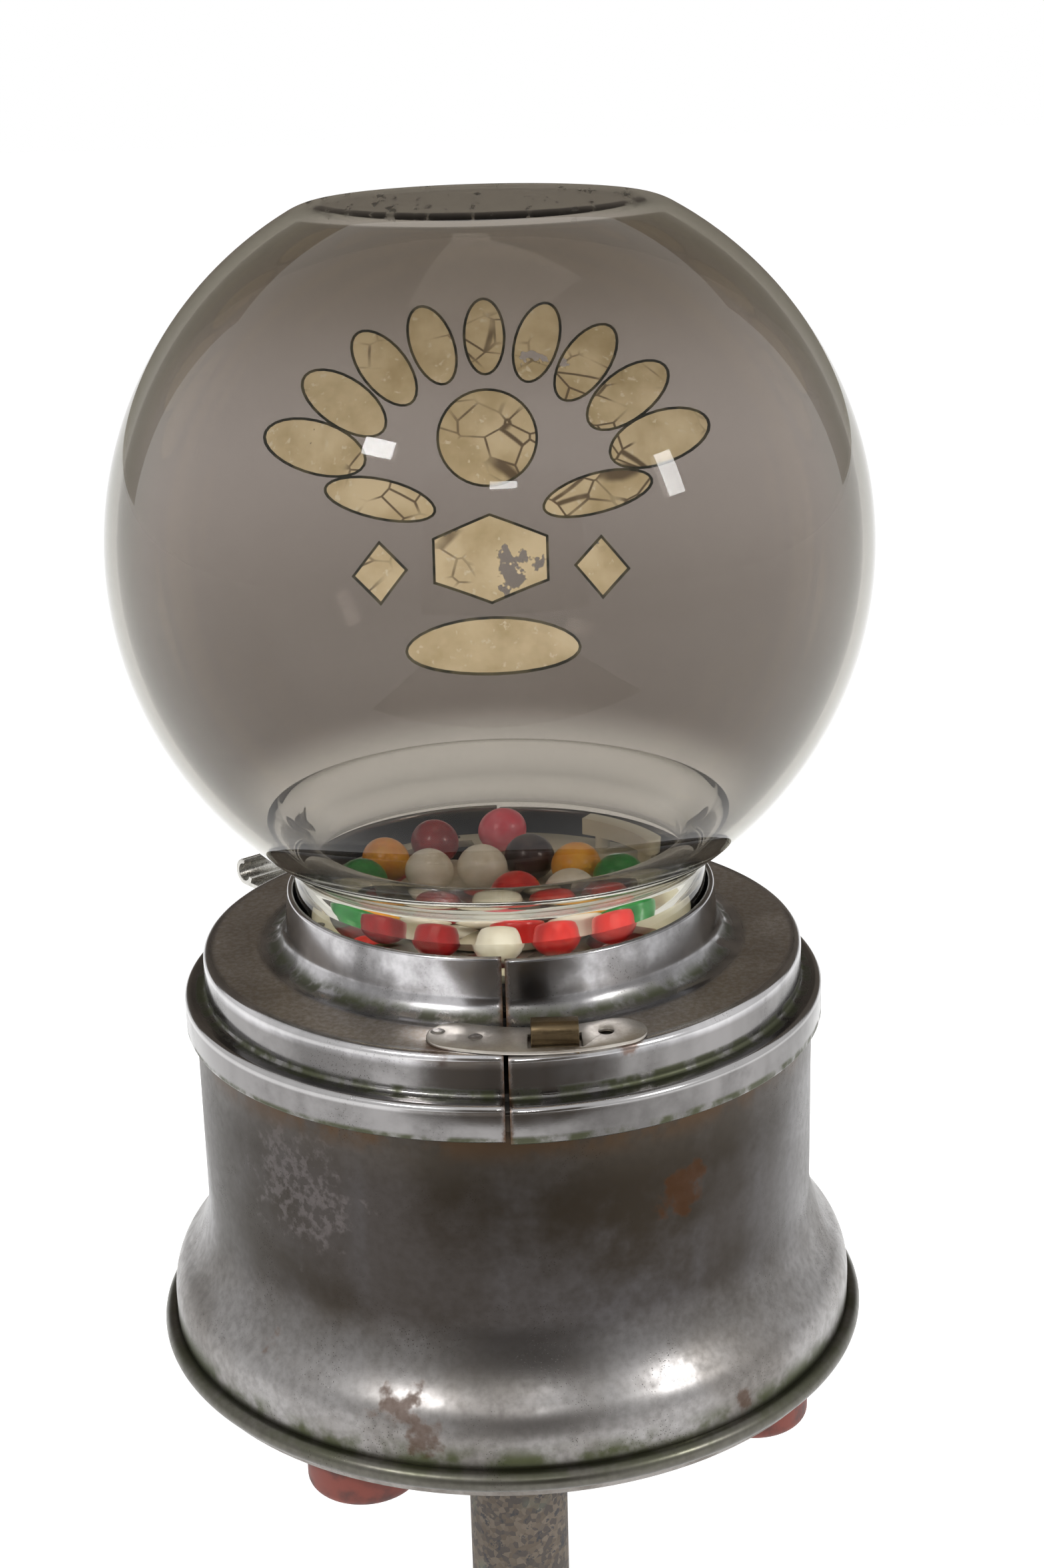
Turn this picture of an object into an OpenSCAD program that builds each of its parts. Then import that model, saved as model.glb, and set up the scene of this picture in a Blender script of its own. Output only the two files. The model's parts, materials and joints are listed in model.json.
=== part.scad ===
// Coin-operated gumball machine with a glass globe, on a short length of pole.
// Millimetres. +Z is up and -Y is the rear, where the collar halves meet under the hasp.
// The coin lever, the coin slot and the outlet are at the front, +Y.
// The origin is the centre of the pole's lower end, where a stand holds it.

/* [Pole and foot] */
// Length of pole below the rolled rim
pole_drop = 120; // [95:1:300]
// Radius of the pole
pole_r = 14.8; // [13:0.1:16]
// Radius of the bore in the pole
pole_bore_r = 12; // [8:0.5:13]
// Radius of the pipe flange
flange_r = 44; // [40:1:50]
// Radius of the circle of flange bolts
flange_bolt_ring = 34; // [30:1:36]
// Radius of a rubber foot
foot_r = 15.5; // [12:0.5:17]
// Height of a rubber foot
foot_h = 14; // [10:1:20]
// Radius of the circle of feet
foot_ring = 78; // [70:1:78]
// Direction of the first foot, in degrees
foot_first = 58; // [50:1:66]

/* [Body] */
// Radius of the straight part of the body
body_r = 86.4; // [86:0.1:86.6]
// Height of the body above the rolled rim
body_top = 101.2; // [100:0.1:101.4]
// Thickness of the body's sheet
sheet_t = 1.2; // [0.8:0.1:1.6]
// Radius of the wire-rolled rim
rim_roll_r = 2.8; // [2:0.1:3]
// Height at which the body starts to flare
flare_z = 43; // [40:1:46]
// Radius of the hollow curve of the flare
hollow_r = 32; // [28:1:36]
// Radius of the bulging curve of the flare
bulge_r = 15; // [12:0.5:16]

/* [Collar] */
// Thickness of the collar's sheet
collar_t = 0.9; // [0.8:0.1:1]
// Radius of the skirt
skirt_r = 89.1; // [89:0.1:89.5]
// Radius of the raised step
step_r = 83.3; // [83:0.1:83.6]
// Height of the ledge between skirt and step
ledge_z = 104; // [103.8:0.1:104.2]
// Height of the collar's flat top
collar_z = 115.4; // [115:0.1:115.8]
// Height of the lip round the globe's neck
lip_z = 131.4; // [130:0.1:132]
// Gap between the two halves at the seam
seam_gap = 1.1; // [0.8:0.1:1.6]
// How much lower the hinged half sits
right_drop = 0.7; // [0:0.1:0.7]
// Opening angle of the hinged half, drawn
collar_open = 0; // [0:5:60]

/* [Globe] */
// Radius of the globe
globe_r = 101.5; // [100:0.1:102]
// Height of the globe's centre above the rim
globe_z = 224.6; // [223:0.1:226]
// Thickness of the glass
glass_t = 3.4; // [2.8:0.1:4]
// Height of the flat top above the rim
globe_top = 315.6; // [314:0.1:317]
// Radius of the flat top
globe_flat_r = 40.3; // [36:0.1:44]
// Radius of the neck
neck_r = 56.9; // [56:0.1:57]
// Inner radius of the neck
neck_in_r = 54.5; // [54:0.1:54.8]
// Inner radius at the thick waist
waist_in_r = 50.5; // [50:0.1:52]

/* [Gum works] */
// Radius of a gumball
ball_r = 7.25; // [7:0.05:7.3]
// Number of pockets in the gum wheel
pockets = 12; // [12]
// Radius of the circle of pockets
pocket_ring = 39.5; // [39:0.1:40]
// Radius of a pocket
pocket_r = 8.1; // [8:0.05:8.3]
// Height of the hopper floor's top
floor_z = 124; // [124:0.1:125]
// Direction of the drop hole, in degrees
drop_az = 51; // [51:1:51]

/* [Coin works] */
// Direction of the coin lever at rest, in degrees
lever_az = 130; // [125:1:132]
// Stroke of the coin lever, in degrees
lever_stroke = 30; // [30:1:30]
// Direction of the coin slot, in degrees
coin_az = 155; // [150:1:160]
// Width of the coin slot
coin_slot_w = 2.2; // [1.8:0.1:2.6]
// Height of the coin slot
coin_slot_h = 22; // [20:0.5:24]
// Radius of the spindle
spindle_r = 5; // [4.5:0.1:5.5]
// Running clearance of shafts and pins in their holes
run_gap = 0.06; // [0.02:0.01:0.1]

/* [Hidden] */
$fn = 72;

// Colours
nickel = [0.62, 0.61, 0.58];
chrome = [0.78, 0.80, 0.84];
dull_steel = [0.45, 0.42, 0.39];
bronze = [0.30, 0.22, 0.12];
cast_grey = [0.36, 0.36, 0.35];
cream = [0.87, 0.83, 0.70];
stone = [0.56, 0.49, 0.43];
foot_red = [0.35, 0.10, 0.08];
rubber_black = [0.08, 0.08, 0.08];
glass = [0.60, 0.62, 0.56, 0.35];

// Levels above the rolled rim
rim_r = 98.5;
rim_z = 3;
flare_turn = 40.5;
bulge_z = flare_z - (hollow_r + bulge_r) * sin(flare_turn);
wall_r = body_r + hollow_r - (hollow_r + bulge_r) * cos(flare_turn) + bulge_r;
plate_t = 2.2;
plate_top = 0.2;
plate_low = plate_top - plate_t;
flange_t = 6;
boss_r = 22;
boss_low = -30;
spigot_r = pole_r - 0.6;
deck_low = 97;
deck_top = 104;
gasket_z = 112.5;
glass_z = 115;
floor_t = 2.2;
pan_floor_t = 2.3;
pan_r = 52.8;
pan_wall = 3;
wheel_low = 106.8;
wheel_top = 121.3;
wheel_r = 49.2;
ratchet_low = 84.6;
ratchet_top = 89.4;
arm_low = 77;
arm_top = 81.5;
arm_w = 8;
hub_low = 76;
hub_top = 84;
tie_ring = 76;
tie_dirs = [10, 190, 280];
deck_screw_ring = 74;
deck_screw_dirs = [105, 132];

// Centres of the collar's round stretches
collar_foot = [66.6, collar_z + 6.5];
collar_edge = [step_r - 1.9, collar_z - 1.9];
ledge_root = [step_r + 1.2, ledge_z + 1.2];
ledge_edge = [skirt_r - 1.6, ledge_z - 1.6];

// Hinge of the right-hand half
hinge_y = 94.6;
hinge_pin_r = 1.6;
knuckle_r = 3.2;
leaf_in = skirt_r + 0.05;
leaf_out = skirt_r + 1.15;
hinge_rivet_dirs = [9, 16];

// Hasp and staple at the rear
hasp_t = 1;
hasp_c = [8, -25.5];
hasp_arc_r = 51;
hasp_w = 15;
hasp_half_angle = 23.6;
hasp_rivet_at = [[-17, -70], [-7.5, -74]];
hasp_hole_at = [25.5, -72.8];
staple_x = 6.4;
staple_w = 12;
staple_back = -73.6;
staple_front = -80.8;
staple_top = 122;
staple_t = 1.1;

// Outlet at the front
outlet_z = 49;
outlet_w = 26;
outlet_h = 25;
frame_w = 38;
frame_h = 38;
frame_front = 93;
flap_pin_z = 62.8;
flap_pin_y = 90;
flap_pin_r = 1.2;

// Ratchet
root_r = 16.5;
tip_r = 20;
pawl_pivot_r = 27;
pawl_lead = 36;
drive_dir = lever_az - pawl_lead;
check_dir = drive_dir + 150;
pawl_pin_r = 1.6;
post_r = 1.8;
post_ring = 30;
post_dir = 200;

// Return spring
spring_coil_r = 8.3;
spring_turn = 5 * 360 + 116 - post_dir + 360;

// Gum chute: down from the drop hole, then sloping to the outlet
chute_out_r = 10.4;
chute_in_r = 8.8;
chute_bend_z = 64;
chute_from = pocket_ring * [cos(drop_az), sin(drop_az)];
chute_to = [0, 82];
chute_run = norm(chute_to - chute_from);
chute_fall = 18;
chute_az = atan2(chute_to[1] - chute_from[1], chute_to[0] - chute_from[0]);
chute_tilt = atan2(chute_run, -chute_fall);

// Gumballs that lie loose in the globe, as [x, y, 1] on the hopper floor or [x, y, 0] on the gum wheel
floor_ball_z = floor_z + ball_r + 0.3;
wheel_ball_z = wheel_top + ball_r + 0.3;
balls_red = [[4, -17, 1], [14, -35, 0], [29, -27, 0]];
balls_dark_red = [[-19, 33, 0], [-31, -22, 0], [-17, -34, 0]];
balls_pink = [[1, 35, 1]];
balls_orange = [[-33, 18, 0], [21.5, 3.5, 1]];
balls_green = [[-39, 1, 0], [33, -7, 1]];
balls_white = [[-20, 2, 1], [-5, 4, 1], [-1, -39.5, 0], [19, -16.5, 1]];
balls_black = [[8.5, 11, 1]];

// ---- helpers ----

module at_rim(z = 0) translate([0, 0, pole_drop + z]) children();

// Points of a round stretch about c, from angle a0 to a1
function bow(c, r, a0, a1, steps = 6) =
    [for (i = [0:steps]) let (a = a0 + (a1 - a0) * i / steps) c + r * [cos(a), sin(a)]];

module up(z) translate([0, 0, z]) children();

module at_dir(dir, r, z = 0) rotate(dir) translate([r, 0, z]) children();

module ring(r_out, r_in, h) difference() {
    cylinder(r = r_out, h = h);
    up(-1) cylinder(r = r_in, h = h + 2);
}

module ring_of(count, r, first = 0)
    for (i = [0:count - 1]) rotate(first + i * 360 / count) translate([r, 0, 0]) children();

// A round peg along a radius, from r_from to r_to
module radial_peg(dir, z, r_from, r_to, r)
    rotate(dir) translate([r_from, 0, z]) rotate([0, 90, 0]) cylinder(r = r, h = r_to - r_from);

module hex(r, h) cylinder(r = r, h = h, $fn = 6);

module slotted_head(r, h) difference() {
    cylinder(r = r, h = h);
    translate([-r - 1, -0.5, h - 0.8]) cube([2 * r + 2, 1, 2]);
}

module rounded_rect(w, h, r) {
    square([w - 2 * r, h], center = true);
    square([w, h - 2 * r], center = true);
    for (x = [-1, 1], y = [-1, 1])
        translate([x * (w / 2 - r), y * (h / 2 - r)]) circle(r);
}

// A quarter of a thin ring, in the quadrant that quarter turns away from the first
module bend2d(r_out, r_in, quarter) intersection() {
    difference() {
        circle(r_out);
        circle(r_in);
    }
    rotate(quarter * 90) square(r_out + 1);
}

// ---- pole and foot ----

// The pole's upper end is turned down to a spigot that stands in the flange's boss
module pole() color(stone) at_rim() difference() {
    union() {
        up(-pole_drop) cylinder(r = pole_r, h = pole_drop + boss_low - 2);
        up(boss_low - 6) cylinder(r = spigot_r, h = plate_low - boss_low + 6);
    }
    up(-pole_drop - 1) cylinder(r = pole_bore_r, h = pole_drop + plate_low + 2);
}

module pipe_flange() color(cast_grey) at_rim() difference() {
    union() {
        up(plate_low - flange_t) cylinder(r = flange_r, h = flange_t);
        up(boss_low) cylinder(r = boss_r, h = plate_low - boss_low);
    }
    up(boss_low - 1) cylinder(r = spigot_r + run_gap, h = 60);
    ring_of(4, flange_bolt_ring, 45) up(-20) cylinder(r = 3.3, h = 40);
    radial_peg(270, -19, 10, 30, 3.05);
}

module flange_bolts() color(dull_steel) at_rim() ring_of(4, flange_bolt_ring, 45) {
    up(plate_low - flange_t - 4) hex(6, 4);
    up(plate_low - flange_t) cylinder(r = 3.2, h = 16);
    up(plate_top) hex(6, 5);
}

module flange_set_screw() color(dull_steel) at_rim() {
    radial_peg(270, -19, spigot_r + run_gap, boss_r + 2, 3);
    radial_peg(270, -19, boss_r + 2, boss_r + 6, 5);
}

module base_plate() color(dull_steel) at_rim() difference() {
    up(plate_low) cylinder(r = 98, h = plate_t);
    ring_of(4, flange_bolt_ring, 45) up(-5) cylinder(r = 3.3, h = 10);
    ring_of(4, foot_ring, foot_first) up(-5) cylinder(r = 2.7, h = 10);
    for (d = tie_dirs) at_dir(d, tie_ring, -5) cylinder(r = 3.15, h = 10);
}

module foot2d() difference() {
    union() {
        square([foot_r - 3, foot_h]);
        translate([0, 3]) square([foot_r, foot_h - 3]);
        translate([foot_r - 3, 3]) circle(3);
    }
    translate([-1, -1]) square([6.5, foot_h / 2 + 1]);
    translate([-1, -1]) square([3.75, foot_h + 2]);
}

module rubber_feet() color(foot_red) at_rim() ring_of(4, foot_ring, foot_first)
    up(plate_low - foot_h) rotate_extrude() foot2d();

module foot_screws() color(dull_steel) at_rim() ring_of(4, foot_ring, foot_first) {
    up(plate_low - foot_h / 2) mirror([0, 0, 1]) slotted_head(5, 3);
    up(plate_low - foot_h / 2) cylinder(r = 2.6, h = 14);
    up(plate_top) hex(4.8, 3.6);
}

module tie_rods() color(dull_steel) at_rim() for (d = tie_dirs) at_dir(d, tie_ring) {
    up(plate_low - 4) hex(6, 4);
    up(plate_low) cylinder(r = 3, h = 103);
}

// ---- body ----

// Up the body's wall from the rolled rim to its top, shrunk by inset
function body_side(inset) = concat(
    [[wall_r - inset, rim_z]],
    bow([wall_r - bulge_r, bulge_z], bulge_r - inset, 0, flare_turn - 3, 8),
    bow([body_r + hollow_r, flare_z], hollow_r + inset, 180 + flare_turn, 180, 10),
    [[body_r - inset, body_top]]
);

function turned_back(points) = [for (i = [len(points) - 1:-1:0]) points[i]];

module body_shell() color(nickel) at_rim() difference() {
    rotate_extrude() {
        polygon(concat(body_side(0), turned_back(body_side(sheet_t))));
        translate([rim_r, rim_z]) circle(rim_roll_r);
        translate([body_r - sheet_t, body_top - 5]) square([2.4, 5]);
    }
    lever_slot();
    translate([0, 80, outlet_z]) rotate([-90, 0, 0]) linear_extrude(20) square([27, 26], center = true);
    rotate(coin_az) translate([80, -2.5, 55]) cube([10, 5, 26]);
    outlet_screw_places() up(80) cylinder(r = 1.3, h = 20);
    for (z = [51, 85]) radial_peg(coin_az, z, 80, 90, 1.3);
}

module lever_slot() rotate(96) rotate_extrude(angle = 38) translate([82, 75.5]) square([8, 7.5]);

module deck_plate() color(cast_grey) at_rim() difference() {
    union() {
        up(deck_low) cylinder(r = 84.9, h = body_top - deck_low);
        up(body_top) cylinder(r = 86.9, h = 0.7);
        up(body_top) cylinder(r = 81.6, h = deck_top - body_top);
        up(90) cylinder(r = 14, h = 10);
        for (d = deck_screw_dirs) at_dir(d, deck_screw_ring, deck_top - 1)
            cylinder(r = 5, h = collar_z - collar_t - deck_top + 1);
    }
    up(80) cylinder(r = 7.5, h = 40);
    at_dir(drop_az, pocket_ring, 90) cylinder(r = 8.6, h = 20);
    for (d = tie_dirs) at_dir(d, tie_ring, 90) cylinder(r = 3.05, h = 11.5);
    for (d = deck_screw_dirs) at_dir(d, deck_screw_ring, 106) cylinder(r = 1.75, h = 20);
    ring_of(4, 51.2, 15) up(99) cylinder(r = 1.25, h = 20);
    at_dir(post_dir, post_ring, 90) cylinder(r = post_r, h = 10);
    at_dir(check_dir + pawl_lead, pawl_pivot_r, 90) cylinder(r = pawl_pin_r, h = 10);
}

// ---- globe ----

// Half section inside the globe's outer surface, shrunk by inset, without its neck
module globe_half2d(inset) {
    top = globe_top - globe_z;
    round_r = (globe_r * globe_r - globe_flat_r * globe_flat_r - top * top) / (2 * (globe_r - top));
    cx = globe_flat_r;
    cz = globe_top - round_r;
    reach = 2 * globe_r;
    intersection() {
        translate([0, globe_z]) circle(globe_r - inset);
        polygon([[0, globe_z], [cx * reach / 50, globe_z + (cz - globe_z) * reach / 50],
                 [3 * reach, globe_z], [3 * reach, -reach], [0, -reach]]);
    }
    translate([cx, cz]) circle(round_r - inset);
    translate([0, globe_z]) square([globe_flat_r, top - inset]);
}

module globe() color(glass) at_rim() {
    fillet = 4;
    fx = neck_r + fillet;
    fz = globe_z - sqrt(pow(globe_r + fillet, 2) - fx * fx);
    tx = fx * globe_r / (globe_r + fillet);
    tz = globe_z - (globe_z - fz) * globe_r / (globe_r + fillet);
    waist = 10;
    rotate_extrude() difference() {
        union() {
            intersection() {
                globe_half2d(0);
                square(400);
            }
            translate([0, glass_z]) square([neck_r, 30]);
            difference() {
                polygon([[neck_r - 2, fz], [neck_r, fz], [tx, tz], [tx - 2, tz + 2]]);
                translate([fx, fz]) circle(fillet);
            }
            translate([0, glass_z]) square([59.8, 1.2]);
            translate([58.8, glass_z + 1]) circle(1);
            difference() {
                translate([50, glass_z + 1]) square([8.8, 3]);
                translate([59.9, glass_z + 5]) circle(3);
            }
        }
        difference() {
            union() {
                intersection() {
                    globe_half2d(glass_t);
                    translate([0, fz]) square(400);
                }
                translate([-1, glass_z - 1]) square([neck_in_r + 1, 35]);
            }
            translate([waist_in_r + waist, fz + 3]) circle(waist);
        }
        translate([-10, 0]) square([10, 400]);
    }
}

module globe_seat() color(cast_grey) at_rim(deck_top) ring(64, 56, gasket_z - deck_top);

module globe_gasket() color(rubber_black) at_rim(gasket_z) ring(61.5, 54, glass_z - gasket_z);

// ---- collar ----

// Down the outside of the collar from its rolled lip, round its lower edge and up the inside
function collar_outline() = concat(
    bow([58.3, lip_z - 0.9], 0.9, 215, -15, 10),
    bow(collar_foot, 6.5, 180, 270, 8),
    bow(collar_edge, 1.9, 90, 0),
    bow(ledge_root, 1.2, 180, 270),
    bow(ledge_edge, 1.6, 90, 0),
    bow([skirt_r - collar_t, 94.9], collar_t, 0, -90),
    [[skirt_r - 2.2, 94], [skirt_r - 2.2, 94 + collar_t], [skirt_r - collar_t, 94 + collar_t]],
    bow(ledge_edge, 1.6 - collar_t, 0, 90),
    bow(ledge_root, 1.2 + collar_t, 270, 180),
    bow(collar_edge, 1.9 - collar_t, 0, 90),
    bow(collar_foot, 6.5 + collar_t, 270, 180, 8)
);

// Half a collar, from the rear seam round to the hinge
module collar_half() {
    gap = asin(seam_gap / 2 / step_r);
    rotate(-90 + gap) rotate_extrude(angle = 180 - 2 * gap) polygon(collar_outline());
}

module hinge_rivet_holes(side, r)
    for (d = hinge_rivet_dirs) radial_peg(90 - side * d, 98.6, 80, 95, r);

module collar_left() color(dull_steel) at_rim() difference() {
    rotate(180) collar_half();
    for (p = hasp_rivet_at) translate([p[0], p[1], 105]) cylinder(r = 1.25, h = 20);
    for (d = deck_screw_dirs) at_dir(d, deck_screw_ring, 106) cylinder(r = 1.75, h = 20);
    hinge_rivet_holes(-1, 1.25);
}

module collar_left_screws() color(chrome) at_rim() for (d = deck_screw_dirs) at_dir(d, deck_screw_ring) {
    up(collar_z) slotted_head(4, 1.8);
    up(collar_z - 9) cylinder(r = 1.7, h = 9.5);
}

// Turns what belongs to the hinged half about its pin
module hinged() translate([0, hinge_y, 0]) rotate(collar_open) translate([0, -hinge_y, 0]) children();

module collar_right() color(dull_steel) at_rim() hinged() difference() {
    up(-right_drop) collar_half();
    for (y = [staple_front, staple_back - staple_t])
        translate([staple_x - 0.05, y - 0.05, 105]) cube([staple_w + 0.1, staple_t + 0.1, 15]);
    hinge_rivet_holes(1, 1.25);
}

// Hinge leaf on the +X side, wrapped on the skirt; spans are [low, high] of its knuckles
module hinge_leaf(plate, spans) difference() {
    union() {
        up(plate[0]) intersection() {
            ring(leaf_out, leaf_in, plate[1] - plate[0]);
            linear_extrude(20) polygon([[seam_gap / 2, 80], [seam_gap / 2, 100], [34, 100], [26, 80]]);
        }
        for (s = spans) up(s[0]) linear_extrude(s[1] - s[0]) {
            translate([0, hinge_y]) circle(knuckle_r);
            polygon([[0.7, leaf_in + 0.2], [9, leaf_in - 0.2], [9, leaf_out - 0.5], [3, hinge_y],
                     [0.7, hinge_y]]);
        }
    }
    translate([0, hinge_y, 80]) cylinder(r = hinge_pin_r + run_gap, h = 40);
    hinge_rivet_holes(1, 1.25);
    up(80) cylinder(r = leaf_in, h = 40);
}

module hinge_leaf_left() color(dull_steel) at_rim()
    mirror([1, 0, 0]) hinge_leaf([95.2, 102.6], [[93.5, 96.8], [101, 104.3]]);

module hinge_leaf_right() color(dull_steel) at_rim() hinged()
    hinge_leaf([95.2, 101.9], [[97.1, 100.7]]);

module hinge_rivets(side) for (d = hinge_rivet_dirs) {
    radial_peg(90 - side * d, 98.6, skirt_r - collar_t - 0.4, leaf_out + 0.4, 1.2);
    radial_peg(90 - side * d, 98.6, leaf_out + 0.02, leaf_out + 0.8, 2);
}

module hinge_rivets_left() color(nickel) at_rim() hinge_rivets(-1);

module hinge_rivets_right() color(nickel) at_rim() hinged() hinge_rivets(1);

module hinge_pin() color(nickel) at_rim() translate([0, hinge_y, 0]) {
    up(93) cylinder(r = hinge_pin_r, h = 12);
    up(104.3) cylinder(r = 2.4, h = 1.4);
    up(92.1) cylinder(r = 2.4, h = 1.4);
}

// ---- hasp and staple ----

module hasp() color(nickel) at_rim(collar_z) difference() {
    union() {
        translate(hasp_c) rotate(-90 - hasp_half_angle) rotate_extrude(angle = 2 * hasp_half_angle)
            translate([hasp_arc_r - hasp_w / 2, 0]) square([hasp_w, hasp_t]);
        for (s = [-1, 1]) translate(hasp_c) at_dir(-90 + s * hasp_half_angle, hasp_arc_r)
            cylinder(r = hasp_w / 2, h = hasp_t);
    }
    for (p = hasp_rivet_at) translate([p[0], p[1], -1]) cylinder(r = 1.25, h = 5);
    translate([hasp_hole_at[0], hasp_hole_at[1], -1]) cylinder(r = 1.9, h = 5);
    translate([staple_x - 0.8, staple_front - 0.6, -1])
        cube([staple_w + 1.6, staple_back - staple_front + 1.2, 5]);
}

module hasp_rivets() color(dull_steel) at_rim(collar_z) for (p = hasp_rivet_at) translate(p) {
    up(-collar_t - 0.6) cylinder(r = 2.3, h = 0.6);
    up(-collar_t) cylinder(r = 1.2, h = collar_t + hasp_t);
    up(hasp_t) cylinder(r1 = 1.9, r2 = 1.3, h = 0.35);
}

module staple2d(inset, low) {
    depth = staple_back - staple_front;
    round_r = 2.6 - inset;
    x0 = inset;
    x1 = depth - inset;
    y1 = staple_top - inset;
    translate([x0, low]) square([x1 - x0, y1 - round_r - low]);
    translate([x0 + round_r, low]) square([x1 - x0 - 2 * round_r, y1 - low]);
    for (x = [x0 + round_r, x1 - round_r]) translate([x, y1 - round_r]) circle(round_r);
}

module staple() color(bronze) at_rim() hinged() translate([staple_x, staple_front, 0])
    rotate([90, 0, 90]) linear_extrude(staple_w) difference() {
        staple2d(0, collar_z - right_drop - collar_t - 0.8);
        staple2d(staple_t, 100);
    }

// ---- gum works ----

module wheel_pan() color(cast_grey) at_rim() difference() {
    up(deck_top) cylinder(r = pan_r, h = floor_z - floor_t - deck_top);
    up(deck_top + pan_floor_t) cylinder(r = pan_r - pan_wall, h = 30);
    up(deck_top - 1) cylinder(r = 9.2, h = 10);
    at_dir(drop_az, pocket_ring, deck_top - 1) cylinder(r = 8.4, h = 10);
    ring_of(4, 51.2, 15) up(deck_top - 1) cylinder(r = 1.25, h = 30);
}

module pan_screws() color(nickel) at_rim() ring_of(4, 51.2, 15) {
    up(100) cylinder(r = 1.2, h = floor_z - 100);
    up(floor_z - 0.9) cylinder(r = 1.5, h = 1);
}

module hopper_floor() color(cream) at_rim(floor_z - floor_t) difference() {
    cylinder(r = pan_r, h = floor_t);
    up(-1) cylinder(r = 9, h = 5);
    up(-1) rotate(100) rotate_extrude(angle = 230) translate([31.2, 0]) square([16.6, 5]);
    ring_of(4, 51.2, 15) up(-1) cylinder(r = 1.25, h = 5);
    ring_of(4, 51.2, 15) up(floor_t - 0.95) cylinder(r = 1.55, h = 5);
    for (d = [27, 50]) at_dir(d, 48, -1) cylinder(r = 1.5, h = 5);
}

// Guard over the drop hole: a curved bar held off the floor on two posts
module gum_guard() color(cream) at_rim() {
    up(floor_z + 4) {
        rotate(22) rotate_extrude(angle = 35) translate([45.5, 0]) square([5, 5.2]);
        at_dir(22, 48) cylinder(r = 2.5, h = 5.2);
    }
    for (d = [27, 50]) at_dir(d, 48) {
        up(floor_z) cylinder(r = 2.2, h = 4.5);
        up(floor_z - floor_t) cylinder(r = 1.5, h = 4);
    }
}

// Wheel with round-bottomed pockets open at its edge; the pan's wall holds the gumballs in
module gum_wheel() color(nickel) at_rim() difference() {
    up(wheel_low) cylinder(r = wheel_r, h = wheel_top - wheel_low);
    up(wheel_low - 1) cylinder(r = spindle_r, h = 30);
    ring_of(pockets, pocket_ring, drop_az) up(wheel_low - 1) linear_extrude(30)
        polygon(concat(bow([0, 0], pocket_r, 90, 270, 24), [[12, -pocket_r], [12, pocket_r]]));
}

module wheel_nut() color(dull_steel) at_rim(wheel_top) difference() {
    hex(7.6, 2.4);
    up(-1) cylinder(r = spindle_r, h = 5);
}

module spindle() color(nickel) at_rim() difference() {
    up(60) cylinder(r = spindle_r, h = wheel_top + 2.3 - 60);
    up(60.8) ring(spindle_r + 1, spindle_r - 0.8, 1.2);
}

module spindle_clip() color(dull_steel) at_rim(60.8) difference() {
    ring(8.5, spindle_r - 0.75, 1.2);
    translate([0, -2, -1]) cube([12, 4, 4]);
}

module spindle_bush() color(bronze) at_rim() difference() {
    union() {
        up(89.8) cylinder(r = 7.5, h = 14.2);
        up(deck_top) cylinder(r = 9, h = 2.4);
    }
    up(80) cylinder(r = spindle_r + run_gap, h = 40);
}

function ratchet_points(teeth, steps) = [
    for (i = [0:teeth - 1], s = [0:steps])
        let (a = (i + s / steps) * 360 / teeth + drive_dir - 1, r = root_r + (tip_r - root_r) * s / steps)
            r * [cos(a), sin(a)]
];

module ratchet_wheel() color(nickel) at_rim() difference() {
    up(ratchet_low) linear_extrude(ratchet_top - ratchet_low) polygon(ratchet_points(pockets, 5));
    up(80) cylinder(r = spindle_r, h = 20);
}

// A pawl whose tip drops behind the tooth at direction dir; it pivots pawl_lead further round
module pawl(dir) difference() {
    union() {
        rotate(dir) up(ratchet_low + 0.2) linear_extrude(ratchet_top - ratchet_low - 0.4)
            polygon([[16.9, 0.3], [17.9, 2.4], [20, 8], [20.6, 13.6], [23, 13.6], [21.6, 5], [20.4, 0.5]]);
        at_dir(dir + pawl_lead, pawl_pivot_r, ratchet_low + 0.2)
            cylinder(r = 3.5, h = ratchet_top - ratchet_low - 0.4);
    }
    at_dir(dir + pawl_lead, pawl_pivot_r, 80) cylinder(r = pawl_pin_r + run_gap, h = 20);
}

module check_pawl() color(nickel) at_rim() pawl(check_dir);

module check_pawl_pin() color(dull_steel) at_rim() at_dir(check_dir + pawl_lead, pawl_pivot_r) {
    up(83.4) cylinder(r = pawl_pin_r, h = 16.6);
    up(82.8) cylinder(r = 3, h = 1.6);
    up(89.6) cylinder(r = 2.6, h = deck_low - 89.6);
}

module drive_pawl() color(nickel) at_rim() pawl(drive_dir);

module drive_pawl_pin() color(dull_steel) at_rim() at_dir(lever_az, pawl_pivot_r) {
    up(arm_low) cylinder(r = pawl_pin_r, h = 91 - arm_low);
    up(arm_top) cylinder(r = 2.6, h = ratchet_low - arm_top);
    up(89.6) cylinder(r = 2.8, h = 1.6);
}

// ---- coin works ----

module coin_lever() color(nickel) at_rim() difference() {
    union() {
        up(hub_low) cylinder(r = 9.5, h = hub_top - hub_low);
        rotate(lever_az) translate([0, -arm_w / 2, arm_low]) cube([101, arm_w, arm_top - arm_low]);
    }
    up(70) cylinder(r = spindle_r + run_gap, h = 20);
    at_dir(lever_az, pawl_pivot_r, 70) cylinder(r = pawl_pin_r, h = 20);
    for (y = [-2, 2]) rotate(lever_az) translate([96, y, 79.3]) rotate([0, 90, 0]) cylinder(r = 0.9, h = 10);
}

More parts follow.
